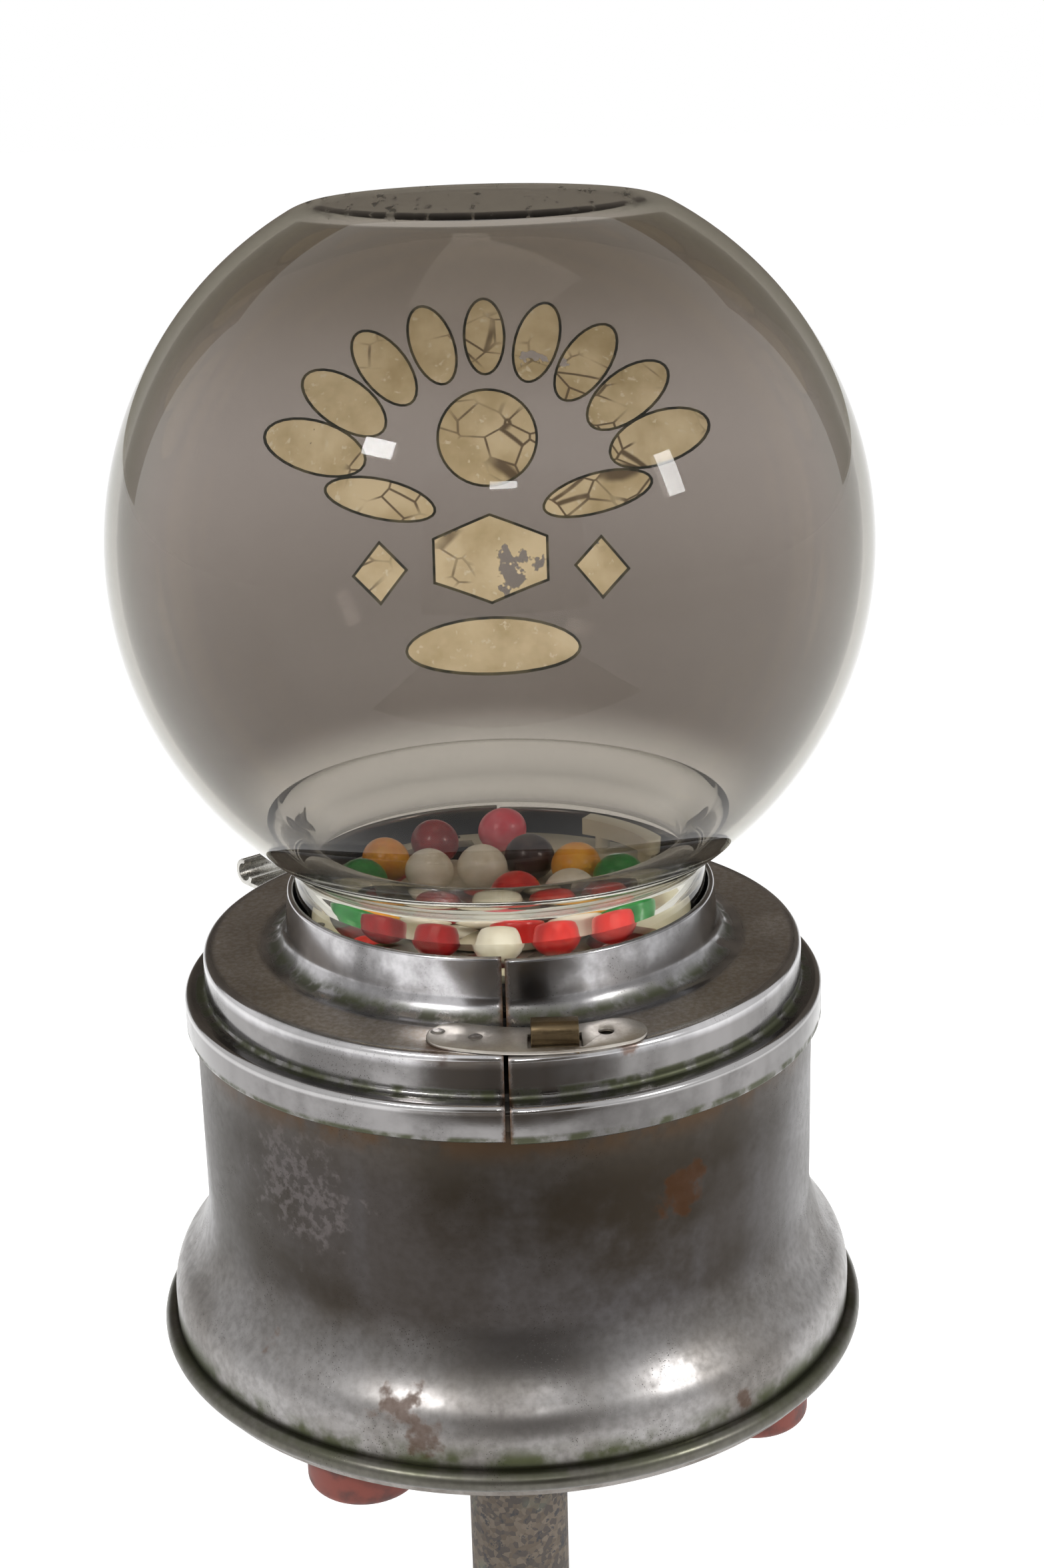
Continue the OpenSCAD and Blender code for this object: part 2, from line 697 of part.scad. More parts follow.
// Sheet tab on the end of the lever, bent out and rolled at its edge for a finger
module finger_tab() color(nickel) at_rim() rotate(lever_az) difference() {
    translate([0, 8, 0]) rotate([90, 0, 0]) linear_extrude(16) {
        translate([101, 76.4]) square([1.5, 20.3]);
        translate([105.5, 96.7]) bend2d(4.5, 3, 1);
        translate([105.5, 99.7]) square([10, 1.5]);
        translate([115.5, 103.9]) difference() {
            circle(4.2);
            circle(2.7);
            polygon([[0, 0], [-9, -2.4], [-9, 9], [-1, 9]]);
        }
    }
    for (y = [-2, 2]) translate([96, y, 79.3]) rotate([0, 90, 0]) cylinder(r = 0.9, h = 10);
}

module tab_rivets() color(dull_steel) at_rim() rotate(lever_az) for (y = [-2, 2])
    translate([97, y, 79.3]) rotate([0, 90, 0]) {
        cylinder(r = 0.88, h = 5.5);
        up(5.5) cylinder(r = 1.6, h = 0.8);
    }

// A wire of eight-sided section along a path that is nowhere upright
module bent_wire(path, r) {
    n = len(path) - 1;
    rings = [for (i = [0:n])
        let (d = path[min(i + 1, n)] - path[max(i - 1, 0)], side = [d[1], -d[0], 0] / norm([d[0], d[1]]))
            for (k = [0:7]) path[i] + r * (cos(k * 45) * side + sin(k * 45) * [0, 0, 1])];
    polyhedron(rings, concat(
        [for (k = [1:6]) [0, k + 1, k]],
        [for (i = [0:n - 1]) for (k = [0:7]) let (a = i * 8 + k, b = i * 8 + (k + 1) % 8) [a, b, b + 8]],
        [for (i = [0:n - 1]) for (k = [0:7]) let (a = i * 8 + k, b = i * 8 + (k + 1) % 8) [a, b + 8, a + 8]],
        [for (k = [1:6]) [n * 8, n * 8 + k, n * 8 + k + 1]]
    ));
}

// Coil round the spindle, with a leg to its post and a leg to the lever's edge
module return_spring() color(nickel) at_rim() bent_wire(concat(
    [[(post_ring - post_r - 1) * cos(post_dir), (post_ring - post_r - 1) * sin(post_dir), 63.2],
     [(spring_coil_r + 4) * cos(post_dir), (spring_coil_r + 4) * sin(post_dir), 63.2]],
    [for (i = [1:83]) let (a = post_dir + spring_turn * i / 84)
        [spring_coil_r * cos(a), spring_coil_r * sin(a), 63.2 + 10 * i / 84]],
    [for (p = [[15.6, -26.6, 74.2], [21.3, -20.6, 76.5], [26.5, -10.75, 79.2]])
        [p[0] * cos(lever_az + p[1]), p[0] * sin(lever_az + p[1]), p[2]]]
), 0.85);

module spring_post() color(dull_steel) at_rim() at_dir(post_dir, post_ring)
    up(61.5) cylinder(r = post_r, h = 38.5);

// ---- gum chute and outlet ----

module chute_bore(r, top) {
    translate([chute_from[0], chute_from[1], chute_bend_z]) {
        cylinder(r = r, h = top - chute_bend_z);
        sphere(r + 0.5);
        rotate([0, chute_tilt, chute_az]) cylinder(r = r, h = 80);
    }
}

module gum_chute() color(dull_steel) at_rim() difference() {
    intersection() {
        chute_bore(chute_out_r, deck_low);
        up(30) cylinder(r = body_r - sheet_t, h = 80);
    }
    chute_bore(chute_in_r, deck_low + 1);
}

module outlet_screw_places() for (x = [-16.5, 16.5], z = [33.5, 66.5])
    translate([x, 0, z]) rotate([-90, 0, 0]) children();

module outlet_frame() color(nickel) at_rim() difference() {
    translate([0, 80, outlet_z + 1]) rotate([-90, 0, 0]) linear_extrude(frame_front - 80)
        rounded_rect(frame_w, frame_h, 4);
    rotate_extrude() polygon(concat([[0, rim_z]], body_side(-0.05), [[0, body_top]]));
    translate([-outlet_w / 2, 70, outlet_z - outlet_h / 2]) cube([outlet_w, 30, 29.3]);
    translate([-20, flap_pin_y, flap_pin_z]) rotate([0, 90, 0]) cylinder(r = flap_pin_r + run_gap, h = 40);
    outlet_screw_places() cylinder(r = 1.3, h = 100);
}

module outlet_screws() color(dull_steel) at_rim() outlet_screw_places() {
    up(84) cylinder(r = 1.25, h = frame_front - 84);
    up(frame_front) slotted_head(2.4, 1.3);
}

module outlet_flap() color(chrome) at_rim() difference() {
    union() {
        translate([-12.6, flap_pin_y - 0.7, 37.4]) cube([25.2, 1.5, flap_pin_z - 37.4]);
        translate([-12.6, flap_pin_y, flap_pin_z]) rotate([0, 90, 0]) cylinder(r = 2.2, h = 25.2);
        translate([-12.6, flap_pin_y + 1.4, 38.7]) rotate([0, 90, 0]) cylinder(r = 1.4, h = 25.2);
    }
    translate([-20, flap_pin_y, flap_pin_z]) rotate([0, 90, 0]) cylinder(r = flap_pin_r + run_gap, h = 40);
}

module flap_pin() color(dull_steel) at_rim() translate([-19, flap_pin_y, flap_pin_z])
    rotate([0, 90, 0]) cylinder(r = flap_pin_r, h = 38);

module coin_slot_plate() color(nickel) at_rim() difference() {
    union() {
        rotate(coin_az - 7) rotate_extrude(angle = 14) translate([body_r + 0.05, 47]) square([1.8, 42]);
        rotate(coin_az) translate([body_r - 2, -4, 54]) cube([6.2, 8, 28]);
    }
    up(40) cylinder(r = body_r + 0.05, h = 60);
    rotate(coin_az) translate([80, -coin_slot_w / 2, 68 - coin_slot_h / 2])
        cube([20, coin_slot_w, coin_slot_h]);
    for (z = [51, 85]) radial_peg(coin_az, z, 80, 95, 1.3);
}

module coin_slot_screws() color(dull_steel) at_rim() for (z = [51, 85]) {
    radial_peg(coin_az, z, 84, body_r + 1.9, 1.25);
    radial_peg(coin_az, z, body_r + 1.9, body_r + 3, 2.4);
}

module coin_chute() color(dull_steel) at_rim() difference() {
    intersection() {
        rotate(coin_az) translate([58, -3.2, 53]) cube([40, 6.4, 30]);
        up(40) cylinder(r = body_r - sheet_t - 0.1, h = 60);
    }
    rotate(coin_az) translate([50, -coin_slot_w / 2, 56]) cube([60, coin_slot_w, 24]);
}

// ---- gumballs ----

module loose(places) at_rim() for (p = places)
    translate([p[0], p[1], p[2] == 1 ? floor_ball_z : wheel_ball_z]) sphere(ball_r);

module gumballs_red() color([0.80, 0.10, 0.08]) loose(balls_red);

module gumballs_dark_red() color([0.50, 0.04, 0.05]) loose(balls_dark_red);

module gumballs_pink() color([0.88, 0.20, 0.28]) loose(balls_pink);

module gumballs_orange() color([0.88, 0.55, 0.10]) loose(balls_orange);

module gumballs_green() color([0.10, 0.45, 0.12]) loose(balls_green);

module gumballs_white() color([0.88, 0.85, 0.76]) loose(balls_white);

module gumballs_black() color([0.14, 0.10, 0.10]) loose(balls_black);

// Gumballs down in the wheel's pockets, counted anticlockwise from the drop hole
module pocketed(numbers) at_rim(deck_top + pan_floor_t + 0.3 + ball_r)
    for (k = numbers) at_dir(drop_az + k * 360 / pockets, pocket_ring) sphere(ball_r);

module pocket_gumballs_red() color([0.80, 0.10, 0.08]) pocketed([1, 3, 5, 7, 9]);

module pocket_gumballs_white() color([0.88, 0.85, 0.76]) pocketed([2, 4, 6, 8]);

// ---- nodes ----

pole();
pipe_flange();
flange_bolts();
flange_set_screw();
base_plate();
rubber_feet();
foot_screws();
tie_rods();
body_shell();
deck_plate();
globe_seat();
globe_gasket();
globe();
collar_left();
collar_left_screws();
collar_right();
hinge_leaf_left();
hinge_leaf_right();
hinge_rivets_left();
hinge_rivets_right();
hinge_pin();
hasp();
hasp_rivets();
staple();
wheel_pan();
pan_screws();
hopper_floor();
gum_guard();
gum_wheel();
wheel_nut();
spindle();
spindle_clip();
spindle_bush();
ratchet_wheel();
check_pawl();
check_pawl_pin();
drive_pawl();
drive_pawl_pin();
coin_lever();
finger_tab();
tab_rivets();
return_spring();
spring_post();
gum_chute();
outlet_frame();
outlet_screws();
outlet_flap();
flap_pin();
coin_slot_plate();
coin_slot_screws();
coin_chute();
gumballs_red();
gumballs_dark_red();
gumballs_pink();
gumballs_orange();
gumballs_green();
gumballs_white();
gumballs_black();
pocket_gumballs_red();
pocket_gumballs_white();
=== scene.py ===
import json
import math
import random

import bpy
from mathutils import Matrix, Vector

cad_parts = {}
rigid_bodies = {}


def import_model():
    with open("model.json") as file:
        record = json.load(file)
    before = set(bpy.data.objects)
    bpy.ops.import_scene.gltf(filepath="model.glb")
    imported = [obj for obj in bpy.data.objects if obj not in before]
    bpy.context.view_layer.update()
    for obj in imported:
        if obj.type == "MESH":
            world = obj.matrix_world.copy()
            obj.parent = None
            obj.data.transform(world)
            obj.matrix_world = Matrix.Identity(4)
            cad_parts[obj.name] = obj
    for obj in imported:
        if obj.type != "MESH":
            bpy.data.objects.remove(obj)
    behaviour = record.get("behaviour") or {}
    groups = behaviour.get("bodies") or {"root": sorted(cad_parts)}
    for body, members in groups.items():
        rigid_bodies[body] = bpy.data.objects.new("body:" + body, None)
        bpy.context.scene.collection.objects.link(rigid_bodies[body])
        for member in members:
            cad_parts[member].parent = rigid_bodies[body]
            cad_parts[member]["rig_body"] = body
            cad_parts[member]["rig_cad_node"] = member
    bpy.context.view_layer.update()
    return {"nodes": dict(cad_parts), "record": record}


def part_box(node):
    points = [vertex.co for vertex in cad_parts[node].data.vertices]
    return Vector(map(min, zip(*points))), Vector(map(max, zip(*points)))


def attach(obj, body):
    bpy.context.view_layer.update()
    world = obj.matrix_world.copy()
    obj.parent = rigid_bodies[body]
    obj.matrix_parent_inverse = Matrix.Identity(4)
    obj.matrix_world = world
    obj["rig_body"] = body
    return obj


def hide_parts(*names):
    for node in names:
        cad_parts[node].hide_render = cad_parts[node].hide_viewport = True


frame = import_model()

bl_info = {
    "name": "Gumball machine",
    "version": (1, 0, 0),
    "blender": (4, 5, 0),
    "location": "View3D > Sidebar > Gumball Machine",
    "description": "Builds a coin-operated gumball machine round its packed solids",
    "category": "Object",
}

NODES = frame["nodes"]
BODY_OF = {node: body for body, nodes in frame["record"]["behaviour"]["bodies"].items() for node in nodes}

# Levels and radii in millimetres, heights above the foot of the rolled rim
MM = 0.001
RIM_Z = 120.0
BODY_R = 86.4
BODY_TOP = 101.2
SHEET = 1.2
FLARE_Z = 43.0
HOLLOW_R = 32.0
BULGE_R = 15.0
ROLL = (98.5, 3.0)
ROLL_R = 2.8
COLLAR_T = 0.9
LIP = (58.3, 130.5)
COLLAR_TOP = 115.4
LEDGE_Z = 104.0
STEP_R = 83.3
SKIRT_R = 89.1
SEAM_HALF_ANGLE = math.radians(0.3783)
RIGHT_DROP = 0.7
GLOBE_R = 101.5
GLOBE_Z = 224.6
GLOBE_TOP = 315.6
GLOBE_FLAT_R = 40.3
GLASS_T = 3.4
NECK_R = 56.9
NECK_IN_R = 54.5
WAIST_IN_R = 50.5
BALL_R = 7.25
POLE_R, POLE_BORE_R, SPIGOT_R, SPIGOT_FROM = 14.8, 12.0, 14.2, -32.0

# The camera, in metres and radians, and the share of light that the seen floor gives off
CAMERA_PLACE = (0.0, -0.63315, 0.49024)
CAMERA_PITCH, CAMERA_YAW, CAMERA_ROLL = 0.3232, 0.0106, -0.0266
FLOOR_GLOW = 0.42


# ---------------------------------------------------------------- settings

def colour(name, default, text):
    return bpy.props.FloatVectorProperty(
        name=name, description=text, default=default, size=3, min=0.0, max=1.0, subtype="COLOR")


class GumballMachineSettings(bpy.types.PropertyGroup):
    """Sizes and colours of the machine that a user would change."""

    round_steps: bpy.props.IntProperty(
        name="Round steps", description="Steps in a full turn of the large pieces", default=240,
        min=48, max=360)
    edge_round: bpy.props.FloatProperty(
        name="Edge rounding", description="Radius of the broken edges of small pieces",
        default=0.25 * MM, min=0.0, max=0.001, unit="LENGTH")
    glass_tint: colour("Glass", (0.84, 0.83, 0.78), "Tint of the globe's glass near its base")
    # The tints below stand in for the dim room seen through the glass: painted shade
    painted_room_shade: colour("Room shade", (0.46, 0.425, 0.40), "Painted shade of the room seen through the glass over its upper part")
    painted_room_shade_top: colour("Room shade on top", (0.30, 0.265, 0.225), "Painted shade of the room seen through the glass round its flat top")
    painted_room_shade_low: colour("Room shade below", (0.30, 0.275, 0.25), "Painted shade of the room seen through the glass over its lower half")
    # A painted dark reflection where the glass is seen edge on
    painted_edge_reflection: colour("Glass edge", (0.17, 0.165, 0.12), "Painted dark reflection where the glass is seen edge on")
    # The wall's darkened nickel, set darker than it is as painted dark reflection
    wall_nickel_painted_dark: colour("Body", (0.048, 0.042, 0.039), "Darkened nickel of the body's wall, set darker as painted dark reflection")
    # The flare's nickel, set bright as a painted reflection
    flare_nickel_painted_bright: colour("Flare", (0.29, 0.28, 0.275), "Nickel of the flare, set bright as a painted reflection")
    body_tarnish: colour("Body tarnish", (0.028, 0.022, 0.016), "Brown tarnish of the body")
    collar_metal: colour("Collar", (0.50, 0.49, 0.50), "Polished metal of the collar")
    plate_metal: colour("Collar top", (0.24, 0.205, 0.17), "Dull metal of the collar's flat top")
    hasp_metal: colour("Hasp", (0.46, 0.43, 0.39), "Nickel of the hasp")
    bronze: colour("Staple", (0.11, 0.08, 0.045), "Dark bronze of the staple")
    rust: colour("Rust", (0.10, 0.042, 0.016), "Rust spots and runs")
    # Darker greenish ragged colour along the body's groove and the collar's inner corners and hem
    ragged_dark_tone: colour("Ragged dark", (0.06, 0.065, 0.035), "Darker greenish ragged colour in the grooves, corners and hem")
    enamel: colour("Enamel", (0.62, 0.58, 0.43), "Cream enamel of the hopper floor")
    decal_cream: colour("Decal", (0.78, 0.68, 0.45), "Cream of the decals")
    decal_edge: colour("Decal outline", (0.035, 0.04, 0.03), "Outline of the decals")
    foot_rubber: colour("Feet", (0.16, 0.030, 0.018), "Rubber of the feet")
    # The pole's colours are set dark as painted shadow from the machine above
    stone: colour("Pole", (0.10, 0.077, 0.056), "Ground colour of the pole's speckled finish")


class GumballMachineStage(bpy.types.PropertyGroup):
    """Floor, lights and camera."""

    lens: bpy.props.FloatProperty(
        name="Lens", description="Focal length for a 36 mm tall frame, in millimetres", default=55.85, min=10)
    key_power: bpy.props.FloatProperty(
        name="Key light", description="Power of the light over the left shoulder", default=14.0, min=0.0,
        unit="POWER")
    fill_power: bpy.props.FloatProperty(
        name="Fill light", description="Power of the light at the right", default=9.0, min=0.0, unit="POWER")
    room_level: bpy.props.FloatProperty(
        name="Room", description="Strength of the room's light on matt surfaces", default=0.75, min=0.0)


# ---------------------------------------------------------------- hand tools

def deselect():
    if bpy.context.object and bpy.context.object.mode != "OBJECT":
        bpy.ops.object.mode_set(mode="OBJECT")
    bpy.ops.object.select_all(action="DESELECT")


def pick(*pieces):
    """Selects these objects and nothing else, the first of them active."""
    deselect()
    for piece in pieces:
        piece.select_set(True)
    bpy.context.view_layer.objects.active = pieces[0]


def edit(select="SELECT"):
    bpy.ops.object.mode_set(mode="EDIT")
    bpy.ops.mesh.select_all(action=select)


def leave():
    bpy.ops.object.mode_set(mode="OBJECT")


def pick_points(piece, wanted):
    """Selects the points of a mesh for which wanted(place) holds, and goes back to edit mode."""
    leave()
    pick(piece)
    mesh = piece.data
    for edge in mesh.edges:
        edge.select = False
    for face in mesh.polygons:
        face.select = False
    for point in mesh.vertices:
        point.select = wanted(point.co)
    bpy.ops.object.mode_set(mode="EDIT")
    bpy.ops.mesh.select_mode(type="VERT")


def finish_modifiers(piece):
    pick(piece)
    for modifier in list(piece.modifiers):
        bpy.ops.object.modifier_apply(modifier=modifier.name)


def smooth(piece, degrees=35):
    pick(piece)
    bpy.ops.object.shade_smooth_by_angle(angle=math.radians(degrees))


def settle(piece):
    """Puts a piece's place, turn and size into its mesh."""
    pick(piece)
    bpy.ops.object.transform_apply(location=True, rotation=True, scale=True)


def join(name, pieces):
    pick(*pieces)
    if len(pieces) > 1:
        bpy.ops.object.join()
    pieces[0].name = name
    return pieces[0]


def hand_over(piece, finish, nodes, body=None):
    """Gives a finished piece its material, its body and the CAD nodes it stands for."""
    settle(piece)
    if finish is not None:
        piece.data.materials.clear()
        piece.data.materials.append(finish)
    first = nodes[0] if nodes else None
    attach(piece, body or BODY_OF[first])
    if nodes:
        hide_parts(*nodes)
    return piece


def bow(centre, radius, start, end, steps=10):
    """Points of a round stretch in an outline, in degrees."""
    turns = [math.radians(start + (end - start) * i / steps) for i in range(steps + 1)]
    return [(centre[0] + radius * math.cos(a), centre[1] + radius * math.sin(a)) for a in turns]


def lathe(name, outline, steps, start=0.0, sweep=2 * math.pi, closed=True):
    """Draws an outline of (radius, height) in millimetres and spins it about the upright axis."""
    deselect()
    bpy.ops.mesh.primitive_plane_add(size=MM)
    piece = bpy.context.object
    piece.name = name
    edit()
    bpy.ops.mesh.merge(type="CENTER")
    places = [Vector((r * MM, 0, (z + RIM_Z) * MM)) for r, z in outline]
    bpy.ops.transform.translate(value=places[0])
    for before, after in zip(places, places[1:]):
        bpy.ops.mesh.extrude_region_move(TRANSFORM_OT_translate={"value": tuple(after - before)})
    if closed:
        bpy.ops.mesh.select_all(action="SELECT")
        leave()
        ends = (places[0], places[-1])
        pick_points(piece, lambda p: min((p - e).length for e in ends) < 0.001 * MM)
        bpy.ops.mesh.edge_face_add()
    bpy.ops.mesh.select_all(action="SELECT")
    if start:
        bpy.ops.transform.rotate(value=-start, orient_axis="Z", center_override=(0, 0, 0))
    bpy.ops.mesh.spin(steps=steps, angle=-sweep, center=(0, 0, 0), axis=(0, 0, 1))
    bpy.ops.mesh.select_all(action="SELECT")
    bpy.ops.mesh.remove_doubles(threshold=0.002 * MM)
    if sweep < 6:
        for turn in (start, start + sweep):
            side = Vector((-math.sin(turn), math.cos(turn), 0))
            ahead = Vector((math.cos(turn), math.sin(turn), 0))
            pick_points(piece, lambda p: abs(p.dot(side)) < 0.004 * MM and p.dot(ahead) > 0)
            bpy.ops.mesh.edge_face_add()
    bpy.ops.mesh.select_all(action="SELECT")
    bpy.ops.mesh.normals_make_consistent(inside=False)
    leave()
    return piece


def copy_of(node, name=None):
    """A merged copy of a CAD node, ready to be finished."""
    pick(NODES[node])
    NODES[node].hide_set(False)
    bpy.ops.object.duplicate()
    piece = bpy.context.object
    piece.name = name or "dressed_" + node
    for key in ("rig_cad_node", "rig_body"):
        if key in piece:
            del piece[key]
    pick(piece)
    bpy.ops.object.parent_clear(type="CLEAR_KEEP_TRANSFORM")
    edit()
    bpy.ops.mesh.remove_doubles(threshold=0.001 * MM)
    bpy.ops.mesh.customdata_custom_splitnormals_clear()
    leave()
    return piece


def finish_node(node, finish, edge=0.0, degrees=30):
    """Takes a CAD node on as it is, with its edges broken and its curves smoothed."""
    piece = copy_of(node)
    if edge:
        bevel = piece.modifiers.new("Broken edges", "BEVEL")
        bevel.width = edge
        bevel.segments = 2
        bevel.angle_limit = math.radians(40)
        bevel.use_clamp_overlap = True
        finish_modifiers(piece)
    smooth(piece, degrees)
    return hand_over(piece, finish, [node])


# ---------------------------------------------------------------- materials

class Board:
    """A node tree with short ways to add and join its nodes."""

    def __init__(self, tree):
        self.tree = tree

    def node(self, kind, inputs=None, **settings):
        made = self.tree.nodes.new(kind)
        for key, value in settings.items():
            setattr(made, key, value)
        for key, value in (inputs or {}).items():
            self.feed(made.inputs[key], value)
        return made

    def feed(self, socket, value):
        if isinstance(value, bpy.types.NodeSocket):
            self.tree.links.new(value, socket)
        elif isinstance(value, tuple) and len(value) == 3 and socket.type == "RGBA":
            socket.default_value = (*value, 1.0)
        else:
            socket.default_value = value

    def math(self, operation, a, b=0.0, c=0.0):
        return self.node("ShaderNodeMath", {0: a, 1: b, 2: c}, operation=operation).outputs[0]

    def times(self, a, b):
        return self.math("MULTIPLY", a, b)

    def most(self, a, b):
        return self.math("MAXIMUM", a, b)

    def step(self, value, low, high, to_low=0.0, to_high=1.0):
        """A smooth step of value from low to high."""
        limits = {"Value": value, "From Min": low, "From Max": high, "To Min": to_low, "To Max": to_high}
        return self.node("ShaderNodeMapRange", limits, interpolation_type="SMOOTHSTEP").outputs["Result"]

    def mix(self, factor, a, b, blend="MIX"):
        made = self.node("ShaderNodeMix", data_type="RGBA", blend_type=blend)
        self.feed(made.inputs["Factor"], factor)
        self.feed(made.inputs[6], a)
        self.feed(made.inputs[7], b)
        return made.outputs[2]

    def noise(self, place, scale, detail=3.0, rough=0.55):
        return self.node("ShaderNodeTexNoise", {"Vector": place, "Scale": scale, "Detail": detail,
                         "Roughness": rough}).outputs["Fac"]

    def stretch(self, place, size, location=(0.0, 0.0, 0.0)):
        return self.node("ShaderNodeMapping", {"Vector": place, "Scale": size, "Location": location}
                         ).outputs["Vector"]

    def group(self, tree, inputs=None):
        made = self.node("ShaderNodeGroup", node_tree=tree)
        for key, value in (inputs or {}).items():
            self.feed(made.inputs[key], value)
        return made


def new_group(name, inputs, outputs):
    tree = bpy.data.node_groups.new(name, "ShaderNodeTree")
    for label, kind, default in inputs:
        socket = tree.interface.new_socket(label, in_out="INPUT", socket_type=kind)
        if default is not None:
            socket.default_value = default
    for label, kind in outputs:
        tree.interface.new_socket(label, in_out="OUTPUT", socket_type=kind)
    board = Board(tree)
    return tree, board, board.node("NodeGroupInput").outputs, board.node("NodeGroupOutput").inputs


def turned_place():
    """Radius and height above the rim in millimetres, for a place in the machine's frame."""
    tree, board, given, made = new_group(
        "Turned place", [("Position", "NodeSocketVector", None)],
        [("Radius", "NodeSocketFloat"), ("Height", "NodeSocketFloat")])
    parts = board.node("ShaderNodeSeparateXYZ", {"Vector": given["Position"]}).outputs
    across = board.math("SQRT", board.math("ADD", board.math("POWER", parts["X"], 2.0),
                                           board.math("POWER", parts["Y"], 2.0)))
    board.feed(made["Radius"], board.times(across, 1 / MM))
    board.feed(made["Height"], board.math("MULTIPLY_ADD", parts["Z"], 1 / MM, -RIM_Z))
    return tree


def band_mask():
    """1 where a value lies between two limits, fading over a softness."""
    tree, board, given, made = new_group(
        "Band", [("Value", "NodeSocketFloat", 0.0), ("Low", "NodeSocketFloat", 0.0),
                 ("High", "NodeSocketFloat", 1.0), ("Softness", "NodeSocketFloat", 0.5)],
        [("Mask", "NodeSocketFloat")])
    up = board.step(given["Value"], board.math("SUBTRACT", given["Low"], given["Softness"]),
                    board.math("ADD", given["Low"], given["Softness"]))
    down = board.step(given["Value"], board.math("SUBTRACT", given["High"], given["Softness"]),
                      board.math("ADD", given["High"], given["Softness"]), 1.0, 0.0)
    board.feed(made["Mask"], board.times(up, down))
    return tree


def spot_mask():
    """1 round a point, with a ragged edge."""
    tree, board, given, made = new_group(
        "Ragged spot", [("Position", "NodeSocketVector", None),
                        ("Centre", "NodeSocketVector", (0.0, 0.0, 0.0)),
                        ("Size", "NodeSocketFloat", 0.01), ("Raggedness", "NodeSocketFloat", 0.6)],
        [("Mask", "NodeSocketFloat")])
    away = board.node("ShaderNodeVectorMath", {0: given["Position"], 1: given["Centre"]},
                      operation="DISTANCE").outputs["Value"]
    edge = board.times(board.math("SUBTRACT", board.noise(given["Position"], 190.0, 5.0), 0.5),
                      given["Raggedness"])
    ratio = board.math("ADD", board.math("DIVIDE", away, given["Size"]), board.times(edge, 3.0))
    board.feed(made["Mask"], board.step(ratio, 0.55, 1.1, 1.0, 0.0))
    return tree


def age_masks():
    """Tarnish patches, fine pits and drawn-out upright streaks; the streaks are painted reflection bands."""
    tree, board, given, made = new_group(
        "Age", [("Position", "NodeSocketVector", None), ("Patch Scale", "NodeSocketFloat", 22.0),
                ("Pit Scale", "NodeSocketFloat", 900.0), ("Amount", "NodeSocketFloat", 0.5)],
        [("Patches", "NodeSocketFloat"), ("Pits", "NodeSocketFloat"), ("Streaks", "NodeSocketFloat"),
         ("Speckle", "NodeSocketFloat")])
    patch = board.noise(given["Position"], given["Patch Scale"], 6.0, 0.62)
    low = board.math("SUBTRACT", 0.78, board.times(given["Amount"], 0.5))
    board.feed(made["Patches"], board.step(patch, board.math("SUBTRACT", low, 0.11),
                                           board.math("ADD", low, 0.11)))
    cells = board.node("ShaderNodeTexVoronoi", {"Vector": given["Position"], "Scale": given["Pit Scale"]}
                       ).outputs["Distance"]
    where = board.step(board.noise(given["Position"], 60.0, 3.0), 0.48, 0.68)
    board.feed(made["Pits"], board.times(board.step(cells, 0.10, 0.26, 1.0, 0.0), where))
    # Upright streaks: painted reflection bands running down the metal
    flat = board.stretch(given["Position"], (30.0, 30.0, 1.2))
    board.feed(made["Streaks"], board.step(board.noise(flat, 1.0, 4.0), 0.40, 0.62))
    board.feed(made["Speckle"], board.step(board.noise(given["Position"], 1500.0, 2.0), 0.42, 0.60))
    return tree


# Name, colour, roughness and share of dirt
METALS = {
    "steel": ("Dull steel", (0.26, 0.245, 0.23), 0.36, 0.45),
    "nickel": ("Nickel fittings", (0.50, 0.49, 0.46), 0.24, 0.30),
    "bright": ("Bright plate", (0.62, 0.63, 0.65), 0.12, 0.20),
    "casting": ("Grey casting", (0.16, 0.16, 0.155), 0.50, 0.4),
    "wheel": ("Cast wheel", (0.50, 0.50, 0.48), 0.34, 0.25),
}
# Name and the two colours that cloud into each other
CANDIES = {
    "candy_red": ("Red candy", (0.72, 0.035, 0.03), (0.45, 0.02, 0.02)),
    "candy_dark_red": ("Dark red candy", (0.36, 0.012, 0.015), (0.22, 0.01, 0.01)),
    "candy_pink": ("Pink candy", (0.78, 0.06, 0.10), (0.85, 0.22, 0.28)),
    "candy_orange": ("Orange candy", (0.86, 0.42, 0.03), (0.80, 0.30, 0.02)),
    "candy_green": ("Green candy", (0.02, 0.28, 0.05), (0.01, 0.18, 0.03)),
    "candy_white": ("White candy", (0.84, 0.80, 0.68), (0.70, 0.64, 0.50)),
    "candy_black": ("Black candy", (0.025, 0.015, 0.015), (0.06, 0.03, 0.03)),
}
# Centre in metres and size of each rust spot
BODY_RUST = (((-0.068, -0.069, 0.1475), 0.006), ((-0.030, -0.092, 0.1420), 0.0055),
             ((-0.024, -0.094, 0.1340), 0.005), ((-0.040, -0.0915, 0.1385), 0.004),
             ((0.062, -0.078, 0.131), 0.004), ((0.045, -0.074, 0.192), 0.007))
COLLAR_RUST = (((-0.016, -0.0765, 0.2353), 0.005), ((0.030, -0.0745, 0.2350), 0.004))


